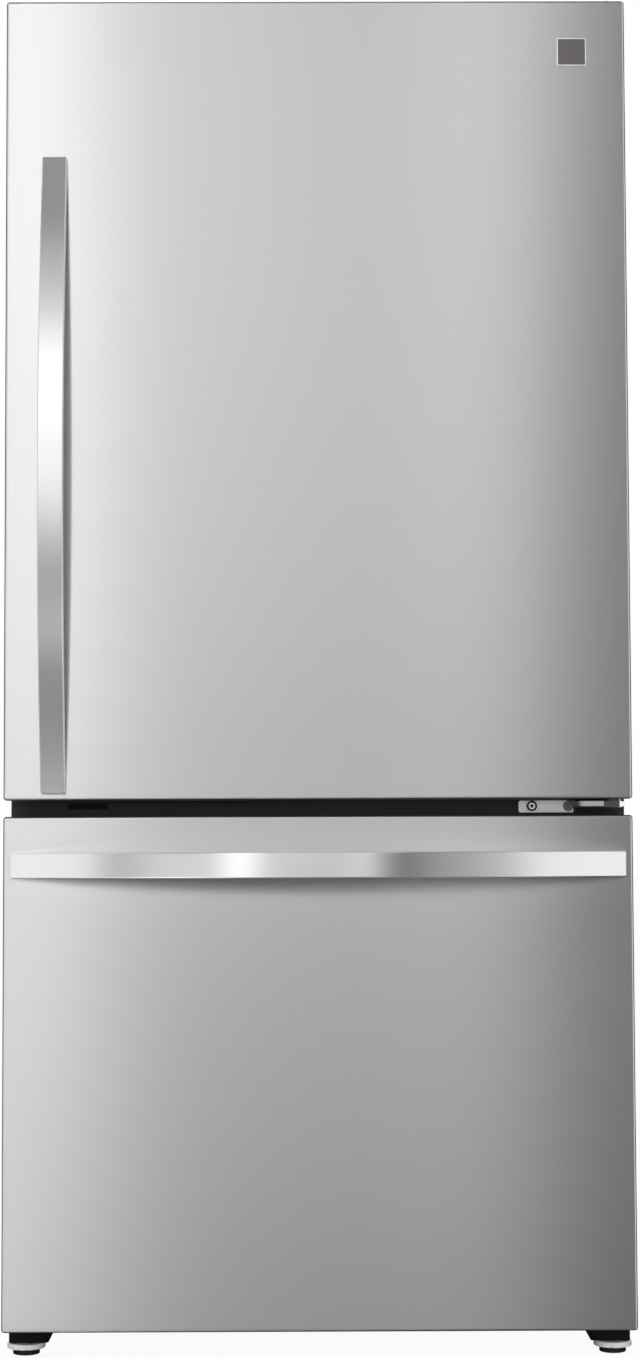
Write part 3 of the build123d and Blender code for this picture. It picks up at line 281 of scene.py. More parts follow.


# %% [markdown]
# ## Brushed stainless steel
#
# The doors and handles are stainless sheet, brushed in one direction. The brushing is thousands of hair-thin
# scratches, so it is modelled as noise that is stretched some hundredfold along the sheet: it varies the
# roughness, tints the metal very slightly and tips the surface a little. Anisotropy smears the reflections
# across the scratches, which is what turns a window's reflection into a soft band. The shader would guess the
# scratches' direction from each face, which breaks up on a bowed bar, so there one constant direction is given.
# The doors' skins turn back behind a fold line on their rounded edges. From that line on the skin is coloured
# dark and not metallic: this is painted shade, which draws the doors' thin dark outline, and it runs on over the
# returns.


# %% Stainless sheet
def brushed_steel(name, along, grey, rough, bowed=False, edge_shade_line=None):
    """Stainless steel whose scratches run along one axis; behind its fold line a skin is painted dark, as painted
    shade.
    """
    finish = Finish(name, {"Metallic": 1.0, "Anisotropic": 1.0, "Anisotropic Rotation": 0.25})
    if bowed:
        scratch = [1.0 if letter == along else 0.0 for letter in "XYZ"]
        finish.surface("Tangent", finish.add("ShaderNodeVectorMath", {"operation": "ADD"}, [scratch, (0, 0, 0)]))

    def brushed(lengthways, crossways, detail):
        """Noise with few grains per metre along the scratches and many across them."""
        return finish.noise([lengthways if letter == along else crossways for letter in "XYZ"], detail)

    hairs = brushed(10.0, 5200.0, 2.0)
    streaks = brushed(1.2, 420.0, 4.0)
    tone = (0.6 * hairs + 0.4 * streaks).ramp(0.2, 0.8)
    colour = finish.blend(tone, grey * 0.982, grey * 1.018)
    gloss = rough + 0.03 * (hairs - 0.5) + 0.012 * (streaks - 0.5)
    # painted shade: behind the fold line the skin is dark charcoal, not metallic and duller
    if edge_shade_line is not None:
        back = finish.axis("Y").ramp(edge_shade_line - 0.1 * mm, edge_shade_line + 0.1 * mm)
        colour = finish.blend(back, colour, (0.012, 0.012, 0.013))
        finish.surface("Metallic", 1 - back)
        gloss = gloss + 0.45 * back
    finish.surface("Base Color", colour)
    finish.surface("Roughness", gloss)
    return finish.bump(hairs, 0.02, 0.00002)


door_steel = brushed_steel("door_steel", "X", 0.73, 0.333, edge_shade_line=door_face + 0.4 * mm)
bar_steel_upright = brushed_steel("bar_steel_upright", "Z", 0.73, 0.281, bowed=True)
# painted light: the same steel as the upright handle, given a lighter grey
bar_steel_level_brightened = brushed_steel("bar_steel_level_brightened", "X", 0.87, 0.281, bowed=True)

# %% [markdown]
# ## Paints
#
# The case is charcoal steel with the fine orange peel of powder paint, the mullion and base are plain black, and
# the leg brackets are a dead black. Dust gives each a faint change of tone and gloss. The front lip of the case,
# which the doors close against, is black.


# %% Paints
def painted(name, colour, rough, peel, grain, shine=0.5, lip=None):
    """Paint with orange peel; in front of its lip line it is black."""
    finish = Finish(name, {"Metallic": 0.0, "Specular IOR Level": shine})
    bumps = finish.noise(grain, detail=2.0)
    dust = finish.noise(5.0, detail=5.0)
    dark = [c * 0.86 for c in colour]
    light = [c * 1.16 + 0.002 for c in colour]
    tone = finish.blend(dust.ramp(0.3, 0.7), dark, light)
    if lip is not None:
        tone = finish.blend(finish.axis("Y").above(lip), 0.006, tone)
    finish.surface("Base Color", tone)
    finish.surface("Roughness", rough + 0.1 * (dust - 0.5) + 0.06 * (bumps - 0.5))
    return finish.bump(bumps, peel, 0.0004)


case_paint = painted("case_paint", (0.040, 0.041, 0.043), 0.46, 0.30, 900.0, lip=case_low.y + 3 * mm)
black_paint = painted("black_paint", (0.0065, 0.0065, 0.007), 0.42, 0.10, 700.0, shine=0.4)
bracket_paint = painted("bracket_paint", (0.004, 0.004, 0.004), 0.55, 0.05, 500.0, shine=0.12)
coil_paint = painted("coil_paint", (0.012, 0.012, 0.013), 0.55, 0.15, 600.0)

# %% [markdown]
# ## Zinc and bright plate
#
# Zinc-plated sheet shows a cloudy spangle of flat crystals, each a little lighter or darker than the next: a
# voronoi pattern gives every crystal its own tone. Nickel plate is even, so it only gets turning marks and the
# haze of handling.


# %% Plated metals
def zinc(name, grey, rough):
    """Zinc-plated sheet: flat crystals of slightly different tone and gloss."""
    finish = Finish(name, {"Metallic": 1.0})
    crystal = finish.add("ShaderNodeTexVoronoi", {"feature": "F1"},
                         {"Vector": finish.stretched(90.0), "Scale": 1.0}, "Color")
    shade = finish.add("ShaderNodeSeparateColor", {}, [crystal], 0)
    film = finish.noise(14.0, detail=5.0)
    tone = 0.6 * shade + 0.4 * film
    finish.surface("Base Color", finish.blend(tone, grey * 0.82, grey * 1.08))
    finish.surface("Roughness", rough + 0.16 * (tone - 0.5))
    return finish.bump(film, 0.05, 0.0003)


def plated(name, grey, rough):
    """Bright nickel plate with turning marks and a little handling haze."""
    finish = Finish(name, {"Metallic": 1.0})
    haze = finish.noise(60.0, detail=5.0)
    marks = finish.noise((400.0, 400.0, 2400.0), detail=2.0)
    finish.surface("Base Color", finish.blend(haze.ramp(0.3, 0.75), grey * 0.9, grey * 1.05))
    finish.surface("Roughness", rough + 0.12 * (haze - 0.5) + 0.06 * (marks - 0.5))
    return finish.bump(marks, 0.06, 0.0001)


zinc_sheet = zinc("zinc_sheet", 0.52, 0.42)
bright_plate = plated("bright_plate", 0.66, 0.26)
coil_aluminium = plated("coil_aluminium", 0.78, 0.38)
satin_trim = plated("satin_trim", 0.62, 0.34)

# %% [markdown]
# ## The rear sheet
#
# A large thin sheet would drum, so it is pressed with upright beads, and a row of rivets holds it at each side.
# Its outer face is the very back of the object, where nothing may stand proud, so beads and rivets are relief
# in the finish.


# %% Pressed sheet
def rear_sheet(name, grey, rough):
    """Zinc-plated sheet with five upright beads and a row of rivets at each side."""
    bead_spacing, bead_half = 60 * mm, 9 * mm
    beads_side, beads_bottom, beads_top, fade = 300 * mm, 360 * mm, 1700 * mm, 40 * mm
    rivet_spacing, rivet_side, rivet_radius = 70 * mm, 398 * mm, 4 * mm
    finish = Finish(name, {"Metallic": 1.0})
    across, up = finish.axis("X"), finish.axis("Z")
    film = finish.noise(14.0, detail=5.0)
    grain = finish.noise(120.0, detail=3.0)
    length = up.ramp(beads_bottom, beads_bottom + fade) * (1 - up.ramp(beads_top - fade, beads_top))
    pressed = length * (1 - abs(across).ramp(beads_side, beads_side + 10 * mm))
    shifted = across + 50 * bead_spacing  # the same row of beads, but with no negative places
    bead = (1 - shifted.to_nearest(bead_spacing).ramp(0.0, bead_half)) * pressed
    distance = finish.reach(abs(across) - rivet_side, up.to_nearest(rivet_spacing))
    rivet = 1 - distance.ramp(0.65 * rivet_radius, rivet_radius)
    tone = 0.6 * film + 0.4 * grain
    finish.surface("Base Color", finish.blend(tone, grey * 0.84, grey * 1.06))
    finish.surface("Roughness", rough + 0.16 * (tone - 0.5) - 0.1 * rivet)
    return finish.bump(bead + 0.6 * rivet + 0.03 * grain, 0.7, 0.003)


pressed_sheet = rear_sheet("pressed_sheet", 0.55, 0.42)

# %% [markdown]
# ## Opaque plastics and rubber
#
# White liners are vacuum-formed sheet: glossy, almost even, with a slow waviness. Moulded parts are duller and
# finely grained, the gaskets are soft grey vinyl, and the compressor stands on black rubber. One function serves
# all of them: a fine grain, a slow wave, and their own colour and gloss.


# %% Opaque plastics
def moulded(name, colour, rough, grain, peel, coat=0.0):
    """Plastic with a moulded grain and a slow waviness."""
    finish = Finish(name, {"Specular IOR Level": 0.5, "Coat Weight": coat, "Coat Roughness": 0.12})
    leather = finish.noise(grain, detail=2.0)
    wave = finish.noise(7.0)
    finish.surface("Base Color", finish.blend(wave.ramp(0.25, 0.8), [c * 0.95 for c in colour], colour))
    finish.surface("Roughness", rough + 0.08 * (leather - 0.5) + 0.06 * (wave - 0.5))
    return finish.bump(leather, peel, 0.0003)


liner_white = moulded("liner_white", (0.80, 0.81, 0.80), 0.28, 260.0, 0.03, 0.25)
moulded_white = moulded("moulded_white", (0.74, 0.75, 0.75), 0.40, 1500.0, 0.08)
moulded_black = moulded("moulded_black", (0.0075, 0.0075, 0.008), 0.50, 1500.0, 0.14)
moulded_grey = moulded("moulded_grey", (0.20, 0.20, 0.205), 0.48, 1500.0, 0.12)
gasket_vinyl = moulded("gasket_vinyl", (0.21, 0.21, 0.215), 0.55, 900.0, 0.10)
mount_rubber = moulded("mount_rubber", (0.018, 0.018, 0.018), 0.75, 700.0, 0.25)

# %% [markdown]
# ## Clear plastic and glass
#
# The drawers and bins are clear plastic and the shelves are glass. True refraction through many thin walls is
# slow and noisy, so both are thin see-through sheets instead, denser and duller where they are scuffed.


# %% Clear sheets
def clear(name, tint, rough, alpha, edge):
    """A see-through sheet that is denser where it is scuffed."""
    finish = Finish(name, {"Base Color": tint, "IOR": 1.5, "Specular IOR Level": 0.6})
    scuffs = finish.noise(30.0, detail=6.0, rough=0.7)
    finish.surface("Roughness", rough + edge * scuffs.ramp(0.45, 0.8))
    finish.surface("Alpha", alpha + 0.12 * (scuffs - 0.5))
    return finish.bump(scuffs, 0.02, 0.0002)


clear_plastic = clear("clear_plastic", (0.78, 0.84, 0.87), 0.14, 0.40, 0.22)
shelf_glass = clear("shelf_glass", (0.70, 0.84, 0.80), 0.04, 0.30, 0.08)

# %% [markdown]
# ## Foam
#
# The walls and doors are filled with yellowish polyurethane foam. It is hidden in the finished object, but a
# section through the part shows it, so it has its cells and its blotches.


# %% Foam
def foam_cells():
    """Poured foam: fine cells and large soft blotches."""
    finish = Finish("foam_cells", {"Specular IOR Level": 0.2})
    cells = finish.noise(350.0, detail=4.0)
    blotch = finish.noise(12.0, detail=4.0)
    finish.surface("Base Color", finish.blend(blotch, (0.60, 0.50, 0.26), (0.76, 0.68, 0.42)))
    finish.surface("Roughness", 0.8 + 0.15 * (cells - 0.5))
    return finish.bump(cells, 0.5, 0.0008)


foam = foam_cells()

# %% [markdown]
# ## The badge
#
# At the upper right sits a small square metal plate, dark and a little warm in tone, with a bright polished rim.
# Rim and field are one piece of metal, so they are told apart by the distance from the plate's middle.

# %% Badge
badge_low, badge_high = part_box("badge_plate")
badge_rim = 1.5 * mm


def badge_finish():
    """A dark warm plate with a bright rim."""
    finish = Finish("badge_finish", {"Metallic": 1.0})
    middle = (badge_low + badge_high) / 2
    field_x = (badge_high.x - badge_low.x) / 2 - badge_rim
    field_z = (badge_high.z - badge_low.z) / 2 - badge_rim
    off_x = abs(finish.axis("X") - middle.x)
    off_z = abs(finish.axis("Z") - middle.z)
    rim = off_x.above(field_x) | off_z.above(field_z)
    grain = finish.noise((900.0, 900.0, 40.0))
    warm = finish.blend(grain, (0.125, 0.112, 0.112), (0.160, 0.145, 0.145))
    finish.surface("Base Color", finish.blend(rim, warm, 0.62))
    finish.surface("Roughness", 0.34 + 0.1 * (grain - 0.5) - 0.14 * rim)
    return finish.bump(rim, 0.3, 0.0003)


badge = badge_finish()

# %% [markdown]
# ## Copper
#
# The refrigerant runs in drawn copper pipe. New copper is bright, but a pipe beside a warm compressor soon dulls
# to brown in patches, so a noise of oxide moves both its colour and its gloss.


# %% Copper pipe
def copper_pipe():
    """Drawn copper, dulled unevenly by brown oxide."""
    finish = Finish("copper_pipe", {"Metallic": 1.0})
    oxide = finish.noise(35.0, detail=6.0, rough=0.6)
    finish.surface("Base Color", finish.blend(oxide.ramp(0.35, 0.7), (0.72, 0.36, 0.22), (0.28, 0.13, 0.08)))
    finish.surface("Roughness", 0.25 + 0.35 * oxide)
    return finish.bump(oxide, 0.1, 0.0003)


copper = copper_pipe()

# %% [markdown]
# ## The middle hinge
#
# Its plate is dull zinc-plated steel, and the arm that carries the door is darker. Where the two meet a dark band
# is painted, as painted shade, and the arm's lower part is painted near black, as the painted shadow under it.
# The arm ends in a dark neck, and at the outer end sits a small white stop. One finish covers the whole stamping
# and changes with the place along the arm, measured from the right edge of the doors.


# %% Hinge finish
def hinge_finish():
    """Dull plate, painted shade band, darker arm with painted shadow below, dark neck, white stop, left to right."""
    shade_band_start, arm_start, neck_start, stop_start = (half_width - back * mm for back in (76.5, 68.5, 35.4, 14.5))
    arm_shadow_top = door_low.z - 9.5 * mm
    finish = Finish("hinge_finish")
    along = finish.axis("X")
    haze = finish.noise(80.0, detail=5.0)
    stop = along.above(stop_start)
    arm = along.above(arm_start)
    neck = along.above(neck_start) * (1 - stop)
    # painted shadow: below this height the arm is painted near black
    under = 1 - finish.axis("Z").above(arm_shadow_top)
    # painted shade: a dark band where the arm meets the plate
    painted_shade_band = along.above(shade_band_start) * (1 - arm) * (1 - under)
    plate = finish.blend(haze, 0.66, (0.80, 0.80, 0.81))
    arm_and_shadow = finish.blend(arm * under, finish.blend(arm, plate, 0.36), 0.02)
    darker = finish.blend(neck | painted_shade_band, arm_and_shadow, 0.05)
    finish.surface("Base Color", finish.blend(stop, darker, (0.92, 0.92, 0.91)))
    finish.surface("Metallic", 0.25 * (1 - stop))
    finish.surface("Roughness", 0.40 + 0.12 * (haze - 0.5))
    return finish.bump(haze, 0.04, 0.0002)


hinge = hinge_finish()

# %% [markdown]
# ## The hinge screws
#
# Of the two screws in the middle hinge's plate the left one has a bright flange. Its socket is painted black, as
# painted shade in the hollow, and a painted shadow line runs round the flange. The right one is painted dark all
# over, as the painted shadow of the arm that half hides it. The same node holds the top hinge's bolts, which keep
# the bright flange.


# %% Screw finish
def screw_finish():
    """Bright flanges; painted shade in and round the left middle screw's socket, and all over the right one."""
    plate_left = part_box("middle_hinge_bracket")[0].x
    left_x, right_x = plate_left + 17.5 * mm, plate_left + 66.0 * mm
    row_z = (drawer_high.z + door_low.z) / 2 + 2 * mm
    socket_radius, flange_radius, soft = 2.2 * mm, 4.2 * mm, 0.3 * mm
    finish = Finish("screw_finish")
    haze = finish.noise(120.0)
    across = finish.axis("X")
    off_z = finish.axis("Z") - row_z
    distance = finish.reach(across - left_x, off_z)
    # painted shade: the socket's hollow is painted black
    socket = 1 - distance.ramp(socket_radius, socket_radius + soft)
    # painted shadow: a black line round the flange
    edge = distance.ramp(flange_radius, flange_radius + soft) * (1 - distance.above(10 * mm))
    # painted shadow: the right screw, half behind the arm, is painted dark all over
    dark = (1 - abs(across - right_x).above(8 * mm)) * (1 - abs(off_z).above(20 * mm))
    colour = finish.blend(dark, finish.blend(haze, 0.72, 0.90), 0.10)
    finish.surface("Base Color", finish.blend(socket | edge, colour, 0.004))
    finish.surface("Metallic", 0.2 * (1 - socket))
    finish.surface("Roughness", 0.30 + 0.1 * (haze - 0.5))
    return finish.bump(haze, 0.05, 0.0002)


screws = screw_finish()

# %% [markdown]
# ## The levelling legs
#
# Each leg is one turned piece: a black pad moulded on its foot, a bright disc to turn it by, and a stud. The pad
# ends at one height, so height alone tells rubber from steel.


# %% Leg finish
def leg_finish():
    """Black below the top of the pad, bright steel above it."""
    pad_top = 8.0 * mm
    finish = Finish("leg_finish")
    pad = 1 - finish.axis("Z").above(pad_top)
    haze = finish.noise(90.0, detail=4.0)
    finish.surface("Base Color", finish.blend(pad, finish.blend(haze, 0.80, 0.92), 0.006))
    finish.surface("Metallic", 0.35 * (1 - pad))
    finish.surface("Roughness", 0.28 + 0.10 * (haze - 0.5) + 0.25 * pad)
    return finish.bump(haze, 0.08, 0.0002)


leg = leg_finish()

# %% [markdown]
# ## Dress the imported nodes
#
# Each node of the frame keeps its shape and gets its finish. A list for each finish is easier to check than a
# line for each node, and the print says if a node was forgotten.

# %% Give every node its finish
node_finishes = {
    door_steel: ["fridge_door_skin", "freezer_door_skin"],
    bar_steel_upright: ["fridge_handle"],
    bar_steel_level_brightened: ["freezer_handle"],
    case_paint: ["outer_case"],
    black_paint: ["centre_mullion", "base_frame", "top_hinge_bracket", "compressor"],
    bracket_paint: ["leg_brackets", "mullion_cap"],
    coil_paint: ["condenser"],
    pressed_sheet: ["rear_panel"],
    zinc_sheet: ["machine_cover", "drawer_rails_fixed", "drawer_rails_middle", "drawer_brackets"],
    screws: ["hinge_bolts"],
    bright_plate: ["roller_axles", "fridge_handle_studs", "freezer_handle_studs"],
    coil_aluminium: ["evaporator"],
    liner_white: ["fridge_liner", "freezer_liner", "fridge_door_liner", "freezer_door_liner"],
    moulded_white: ["shelf_frames", "crisper_cover_frame", "air_duct_panel", "control_panel",
                    "evaporator_cover", "evaporator_fan"],
    moulded_black: ["top_hinge_cover", "roller_left", "roller_right", "condenser_fan",
                    "condenser_fan_motor", "evaporator_fan_motor", "drain_pan", "power_gland"],
    moulded_grey: ["fridge_door_end_caps", "freezer_door_end_caps", "fridge_button", "freezer_button"],
    gasket_vinyl: ["fridge_door_gasket", "freezer_door_gasket"],
    mount_rubber: ["compressor_mounts"],
    clear_plastic: ["crisper_left", "crisper_right", "door_bins", "freezer_basket", "freezer_tray"],
    shelf_glass: ["shelf_glass"],
    foam: ["cabinet_insulation", "fridge_door_insulation", "freezer_door_insulation"],
    badge: ["badge_plate"],
    hinge: ["middle_hinge_bracket"],
    leg: ["leveller_left", "leveller_right"],
}


def dress(obj, finish):
    """Gives an object one finish in place of what it had."""
    obj.data.materials.clear()
    obj.data.materials.append(finish.material)


for finish, names in node_finishes.items():
    for name in names:
        dress(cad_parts[name], finish)
undressed = set(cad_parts) - {name for names in node_finishes.values() for name in names}
print("nodes dressed", len(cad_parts) - len(undressed), "left", sorted(undressed))

# %% [markdown]
# ## Small pieces for the eye
#
# The frame holds all that moves, carries or fastens. What is left is small: the folds of the door seals, the trims
# of shelves and drawers, the ceiling lamp, the marks of the control panel, the screws of the rear cover and the
# copper pipes of the machine compartment. Each is built from points in mesh code and rides on its own body.


# %% Turn a mesh into a piece that rides on a body
def piece(name, body, finish, shape, sharp=35):
    """Makes an object of a mesh, with edges sharper than an angle in degrees kept crisp."""
    mesh = bpy.data.meshes.new(name)
    bmesh.ops.recalc_face_normals(shape, faces=shape.faces)
    shape.to_mesh(mesh)
    shape.free()
    mesh.shade_smooth()
    mesh.set_sharp_from_angle(angle=math.radians(sharp))
    obj = bpy.data.objects.new(name, mesh)
    bpy.context.collection.objects.link(obj)
    dress(obj, finish)
    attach(obj, body)
    print("piece", name, len(mesh.vertices), "points on", body)
    return obj


# %% [markdown]
# ## Door seals
#
# A seal is an extruded vinyl bellows: a flat face with a magnet strip that meets the cabinet, two soft folds, and a
# narrower foot that is pushed into the door. Its section is drawn once and carried round the door with mitred
# corners, like the welded corners of the real extrusion.


# %% Door seals
def join_loops(shape, loops):
    """Fills the strips between loops of as many points, each loop with the next."""
    count = len(loops[0])
    for here, there in zip(loops, loops[1:]):
        for k in range(count):
            after = (k + 1) % count
            shape.faces.new((here[k], here[after], there[after], there[k]))


def carry_round(shape, low, high, section):
    """Carries a closed section of (inward, y) points round the rectangle between two corners."""
    loops = []
    for inward, y in section:
        left, right, bottom, top = low.x + inward, high.x - inward, low.z + inward, high.z - inward
        corners = ((left, y, bottom), (right, y, bottom), (right, y, top), (left, y, top))
        loops.append([shape.verts.new(corner) for corner in corners])
    join_loops(shape, loops + loops[:1])


# inward from the seal's outer edge and out from the door, in mm, round the section
seal_section = ((6, 0), (18, 0), (18, 1.6), (22, 3.2), (18.5, 5.2), (22, 7.4), (24, 8.4), (24, 11.2), (23.4, 11.7),
                (0.6, 11.7), (0, 11.2), (0, 8.4), (2, 7.4), (5.5, 5.2), (2, 3.2), (6, 1.6))
seal_depth = 11.7


def seal(node, body):
    """The bellows that stands for a door's plain seal; its section is fitted to the seal's depth."""
    low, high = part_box(node)
    section = [(inward * mm, low.y + rise * (high.y - low.y) / seal_depth) for inward, rise in seal_section]
    shape = bmesh.new()
    carry_round(shape, low, high, section)
    bellows = piece(node.replace("gasket", "bellows"), body, gasket_vinyl, shape, 50)
    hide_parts(node)


seal("fridge_door_gasket", "fridge_door")
seal("freezer_door_gasket", "freezer_drawer")

# %% [markdown]
# ## Two ways to build small parts
#
# Nearly all small parts are either moulded blocks, which never have a sharp edge, or turned pieces, which are
# rings of points along an axis. A ring can also be a hexagon, and that makes the socket of a screw.


# %% Blocks with rounded edges and turned pieces
def rounded_block(shape, low, high, edge):
    """Adds a block between two corners, with its edges rounded."""
    low, high = Vector(low), Vector(high)
    points = bmesh.ops.create_cube(shape, size=1.0)["verts"]
    bmesh.ops.scale(shape, vec=high - low, verts=points)
    bmesh.ops.translate(shape, vec=(low + high) / 2, verts=points)
    edges = list({e for point in points for e in point.link_edges})
    bmesh.ops.bevel(shape, geom=edges, offset=edge, segments=2, affect="EDGES", profile=0.5)


def turned(shape, centre, way, rings, steps=24):
    """Adds a turned piece from rings of (radius, height, sides); 0 sides is round, 6 a hexagon."""
    stand = Matrix.Translation(centre) @ Vector(way).to_track_quat("Z", "Y").to_matrix().to_4x4()
    loops = []
    for radius, height, sides in rings:
        loop = []
        for step in range(steps):
            angle = step * math.tau / steps
            reach = radius
            if sides:
                half = math.pi / sides
                reach = radius * math.cos(half) / math.cos(angle % (2 * half) - half)
            point = Vector((reach * math.cos(angle), reach * math.sin(angle), height))
            loop.append(shape.verts.new(stand @ point))
        loops.append(loop)
    join_loops(shape, loops)
    shape.faces.new(loops[0])
    shape.faces.new(loops[-1])


# %% [markdown]
# ## Trims of the shelves and bins
#
# Each glass shelf has a satin metal trim along its front, and so has each bin of the door. They are all thin
# strips with soft edges, so one function lays a strip a little below each top edge.

# %% Trims of the shelves and bins
trim_depth, trim_edge, trim_drop = 1.2 * mm, 0.5 * mm, 2 * mm


def trims(name, body, box, face, tops, side_gap, height):
    """One strip below each top, on a front that starts at a y."""
    low, high = box
    shape = bmesh.new()
    for top in tops:
        rounded_block(shape, (low.x + side_gap, face, top - trim_drop - height),
                      (high.x - side_gap, face + trim_depth, top - trim_drop), trim_edge)
    piece(name, body, satin_trim, shape)


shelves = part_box("shelf_frames")
shelf_thickness = 13.9 * mm
shelf_pitch = (shelves[1].z - shelves[0].z - shelf_thickness) / 2
shelf_tops = [shelves[1].z - k * shelf_pitch for k in range(3)] + [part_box("crisper_cover_frame")[1].z]
trims("shelf_trims", "cabinet", shelves, shelves[0].y - trim_depth, shelf_tops, 6 * mm, 10 * mm)

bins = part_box("door_bins")
bin_height = 95 * mm
bin_pitch = (bins[1].z - bins[0].z - bin_height) / 2
bin_tops = [bins[0].z + bin_height + k * bin_pitch for k in range(3)]
trims("bin_trims", "fridge_door", bins, bins[1].y, bin_tops, 4 * mm, 13 * mm)

# %% [markdown]
# ## Grips of the crispers
#
# A crisper is pulled by two white lips along the top of its front, with a groove for the fingers between them.
# In the groove sits the slide of the air vent with its small tab. All four are moulded blocks.


# %% Crisper grips
def crisper_grip(node):
    """Two lips, and the vent slide with its tab between them."""
    low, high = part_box(node)
    middle = (low.x + high.x) / 2
    lip = (high.x - low.x) / 2 / mm - 8
    # half width, back and front in front of the crisper, top and bottom below its rim, edge radius
    blocks = ((lip, 0, 3, 20, 26, 1.2), (lip, 0, 5, 2, 8, 1.2), (32, 0, 2, 9, 19, 0.8), (6, 2, 4, 10, 18, 0.8))
    shape = bmesh.new()
    for half, back, front, top, bottom, edge in blocks:
        rounded_block(shape, (middle - half * mm, low.y - front * mm, high.z - bottom * mm),
                      (middle + half * mm, low.y - back * mm, high.z - top * mm), edge * mm)
    piece(node + "_grip", node, moulded_white, shape)


crisper_grip("crisper_left")
crisper_grip("crisper_right")

# %% [markdown]
# ## The ceiling lamp
#
# Behind the control panel a shallow white frame holds a ribbed lens, which spreads the light of the lamp. The
# ribs are narrow rounded blocks side by side.

# %% Ceiling lamp
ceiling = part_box("control_panel")[1].z
lamp_half, lamp_front, lamp_back = 130 * mm, 20 * mm, 100 * mm
lens_inset, rib_count, rib_width = 7 * mm, 22, 11 * mm

shape = bmesh.new()
rounded_block(shape, (-lamp_half, lamp_front, ceiling - 5 * mm), (lamp_half, lamp_back, ceiling), 2 * mm)
piece("lamp_frame", "cabinet", moulded_white, shape)

shape = bmesh.new()
for rib in range(rib_count):
    left = (rib - rib_count / 2) * rib_width
    rounded_block(shape, (left, lamp_front + lens_inset, ceiling - 9 * mm),
                  (left + rib_width, lamp_back - lens_inset, ceiling - 4 * mm), 1.6 * mm)
piece("lamp_lens", "cabinet", clear_plastic, shape, 60)

# %% [markdown]
# ## The control panel's window and lights
#
# Between the two buttons the panel has a dark window, and beside each button a row of five small white lights
# shows how cold it is set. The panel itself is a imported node, so these only stand on its face.

# %% Marks of the control panel
panel_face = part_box("control_panel")[0].y
button_low, button_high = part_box("fridge_button")
button_z = (button_low.z + button_high.z) / 2
window_half, window_half_height, window_rise = 30 * mm, 5 * mm, 0.5 * mm
light_start, light_pitch = 92 * mm, 9 * mm
light_rings = ((1.6 * mm, 0, 0), (1.6 * mm, 0.3 * mm, 0), (0.9 * mm, 0.6 * mm, 0))

shape = bmesh.new()
rounded_block(shape, (-window_half, panel_face - window_rise, button_z - window_half_height),
              (window_half, panel_face, button_z + window_half_height), 0.2 * mm)
piece("panel_window", "cabinet", moulded_black, shape)

shape = bmesh.new()
for side in (-1, 1):
    for k in range(5):
        centre = (side * (light_start + k * light_pitch), panel_face, button_z)
        turned(shape, centre, (0, -1, 0), light_rings, 16)
piece("panel_lights", "cabinet", liner_white, shape)

# %% [markdown]
# ## Screws of the rear cover
#
# Ten domed screws with hexagonal sockets hold the slotted cover of the machine compartment, five along its top
# and five along its bottom. They are one turned shape, repeated.

# %% Screws of the rear cover
cover_low, cover_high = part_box("machine_cover")
screw_spacing, screw_inset = 196 * mm, 9 * mm
screw_radius, screw_height = 4.2 * mm, 2.2 * mm
# radius and height as shares of the screw's own, and the sides of the ring
screw_head = ((1.0, 0.0, 0), (1.0, 0.35, 0), (0.86, 0.8, 0), (0.58, 1.0, 0), (0.46, 1.0, 6), (0.42, 0.4, 6))
screw_rings = [(screw_radius * r, screw_height * h, sides) for r, h, sides in screw_head]

shape = bmesh.new()
for column in range(-2, 3):
    for z in (cover_low.z + screw_inset, cover_high.z - screw_inset):
        turned(shape, (column * screw_spacing, cover_high.y, z), (0, 1, 0), screw_rings)
piece("rear_cover_screws", "cabinet", bright_plate, shape)

# %% [markdown]
# ## Copper pipes
#
# Two copper pipes run from the compressor over the fan to the condenser. A pipe is bent round a former, so it has
# straight runs and soft bends. A curve with a round bevel gives exactly that from a few points, and is then
# turned into a mesh.


# %% Copper pipes
def pipe(name, points, radius):
    """A bent pipe through points, with rounded bends."""
    curve = bpy.data.curves.new(name + "_path", "CURVE")
    curve.dimensions = "3D"
    curve.bevel_depth = radius
    curve.bevel_resolution = 4
    curve.resolution_u = 10
    line = curve.splines.new("NURBS")
    line.points.add(len(points) - 1)
    for point, place in zip(line.points, points):
        point.co = (*place, 1)
    line.order_u = 3
    line.use_endpoint_u = True
    path = bpy.data.objects.new(name + "_path", curve)
    bpy.context.collection.objects.link(path)
    shape = bmesh.new()
    shape.from_mesh(path.to_mesh())
    path.to_mesh_clear()
    bpy.data.objects.remove(path)
    bpy.data.curves.remove(curve)
    piece(name, "cabinet", copper, shape, 60)


pump_low, pump_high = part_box("compressor")
pump_x, pump_y = (pump_low.x + pump_high.x) / 2, (pump_low.y + pump_high.y) / 2
coil_right, coil_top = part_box("condenser")[1].x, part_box("condenser")[1].z
hot_x, hot_y, hot_z = pump_x + 20 * mm, pump_y - 30 * mm, coil_top + 22 * mm
cold_x, cold_y, cold_z = pump_x - 30 * mm, pump_y + 40 * mm, coil_top + 30 * mm

pipe("hot_pipe", [(hot_x, pump_y, pump_high.z - 6 * mm), (hot_x, pump_y, hot_z), (hot_x - 80 * mm, hot_y, hot_z),
                  (20 * mm, hot_y, hot_z), (coil_right - 20 * mm, hot_y, hot_z),
                  (coil_right - 30 * mm, hot_y, hot_z), (coil_right - 30 * mm, hot_y, coil_top - 4 * mm)], 3.2 * mm)
pipe("cold_pipe", [(cold_x, cold_y - 20 * mm, pump_high.z - 8 * mm), (cold_x, cold_y - 20 * mm, cold_z),
                   (cold_x - 70 * mm, cold_y, cold_z), (0.0, cold_y, cold_z), (coil_right - 50 * mm, cold_y, cold_z),
                   (coil_right - 60 * mm, cold_y, coil_top - 4 * mm)], 4.0 * mm)

# %% [markdown]
# ## The drier and the terminal box
#
# The hot pipe passes through the drier, a short copper cylinder with necked ends that catches water. The
# compressor's wires end under a small black box on its side.

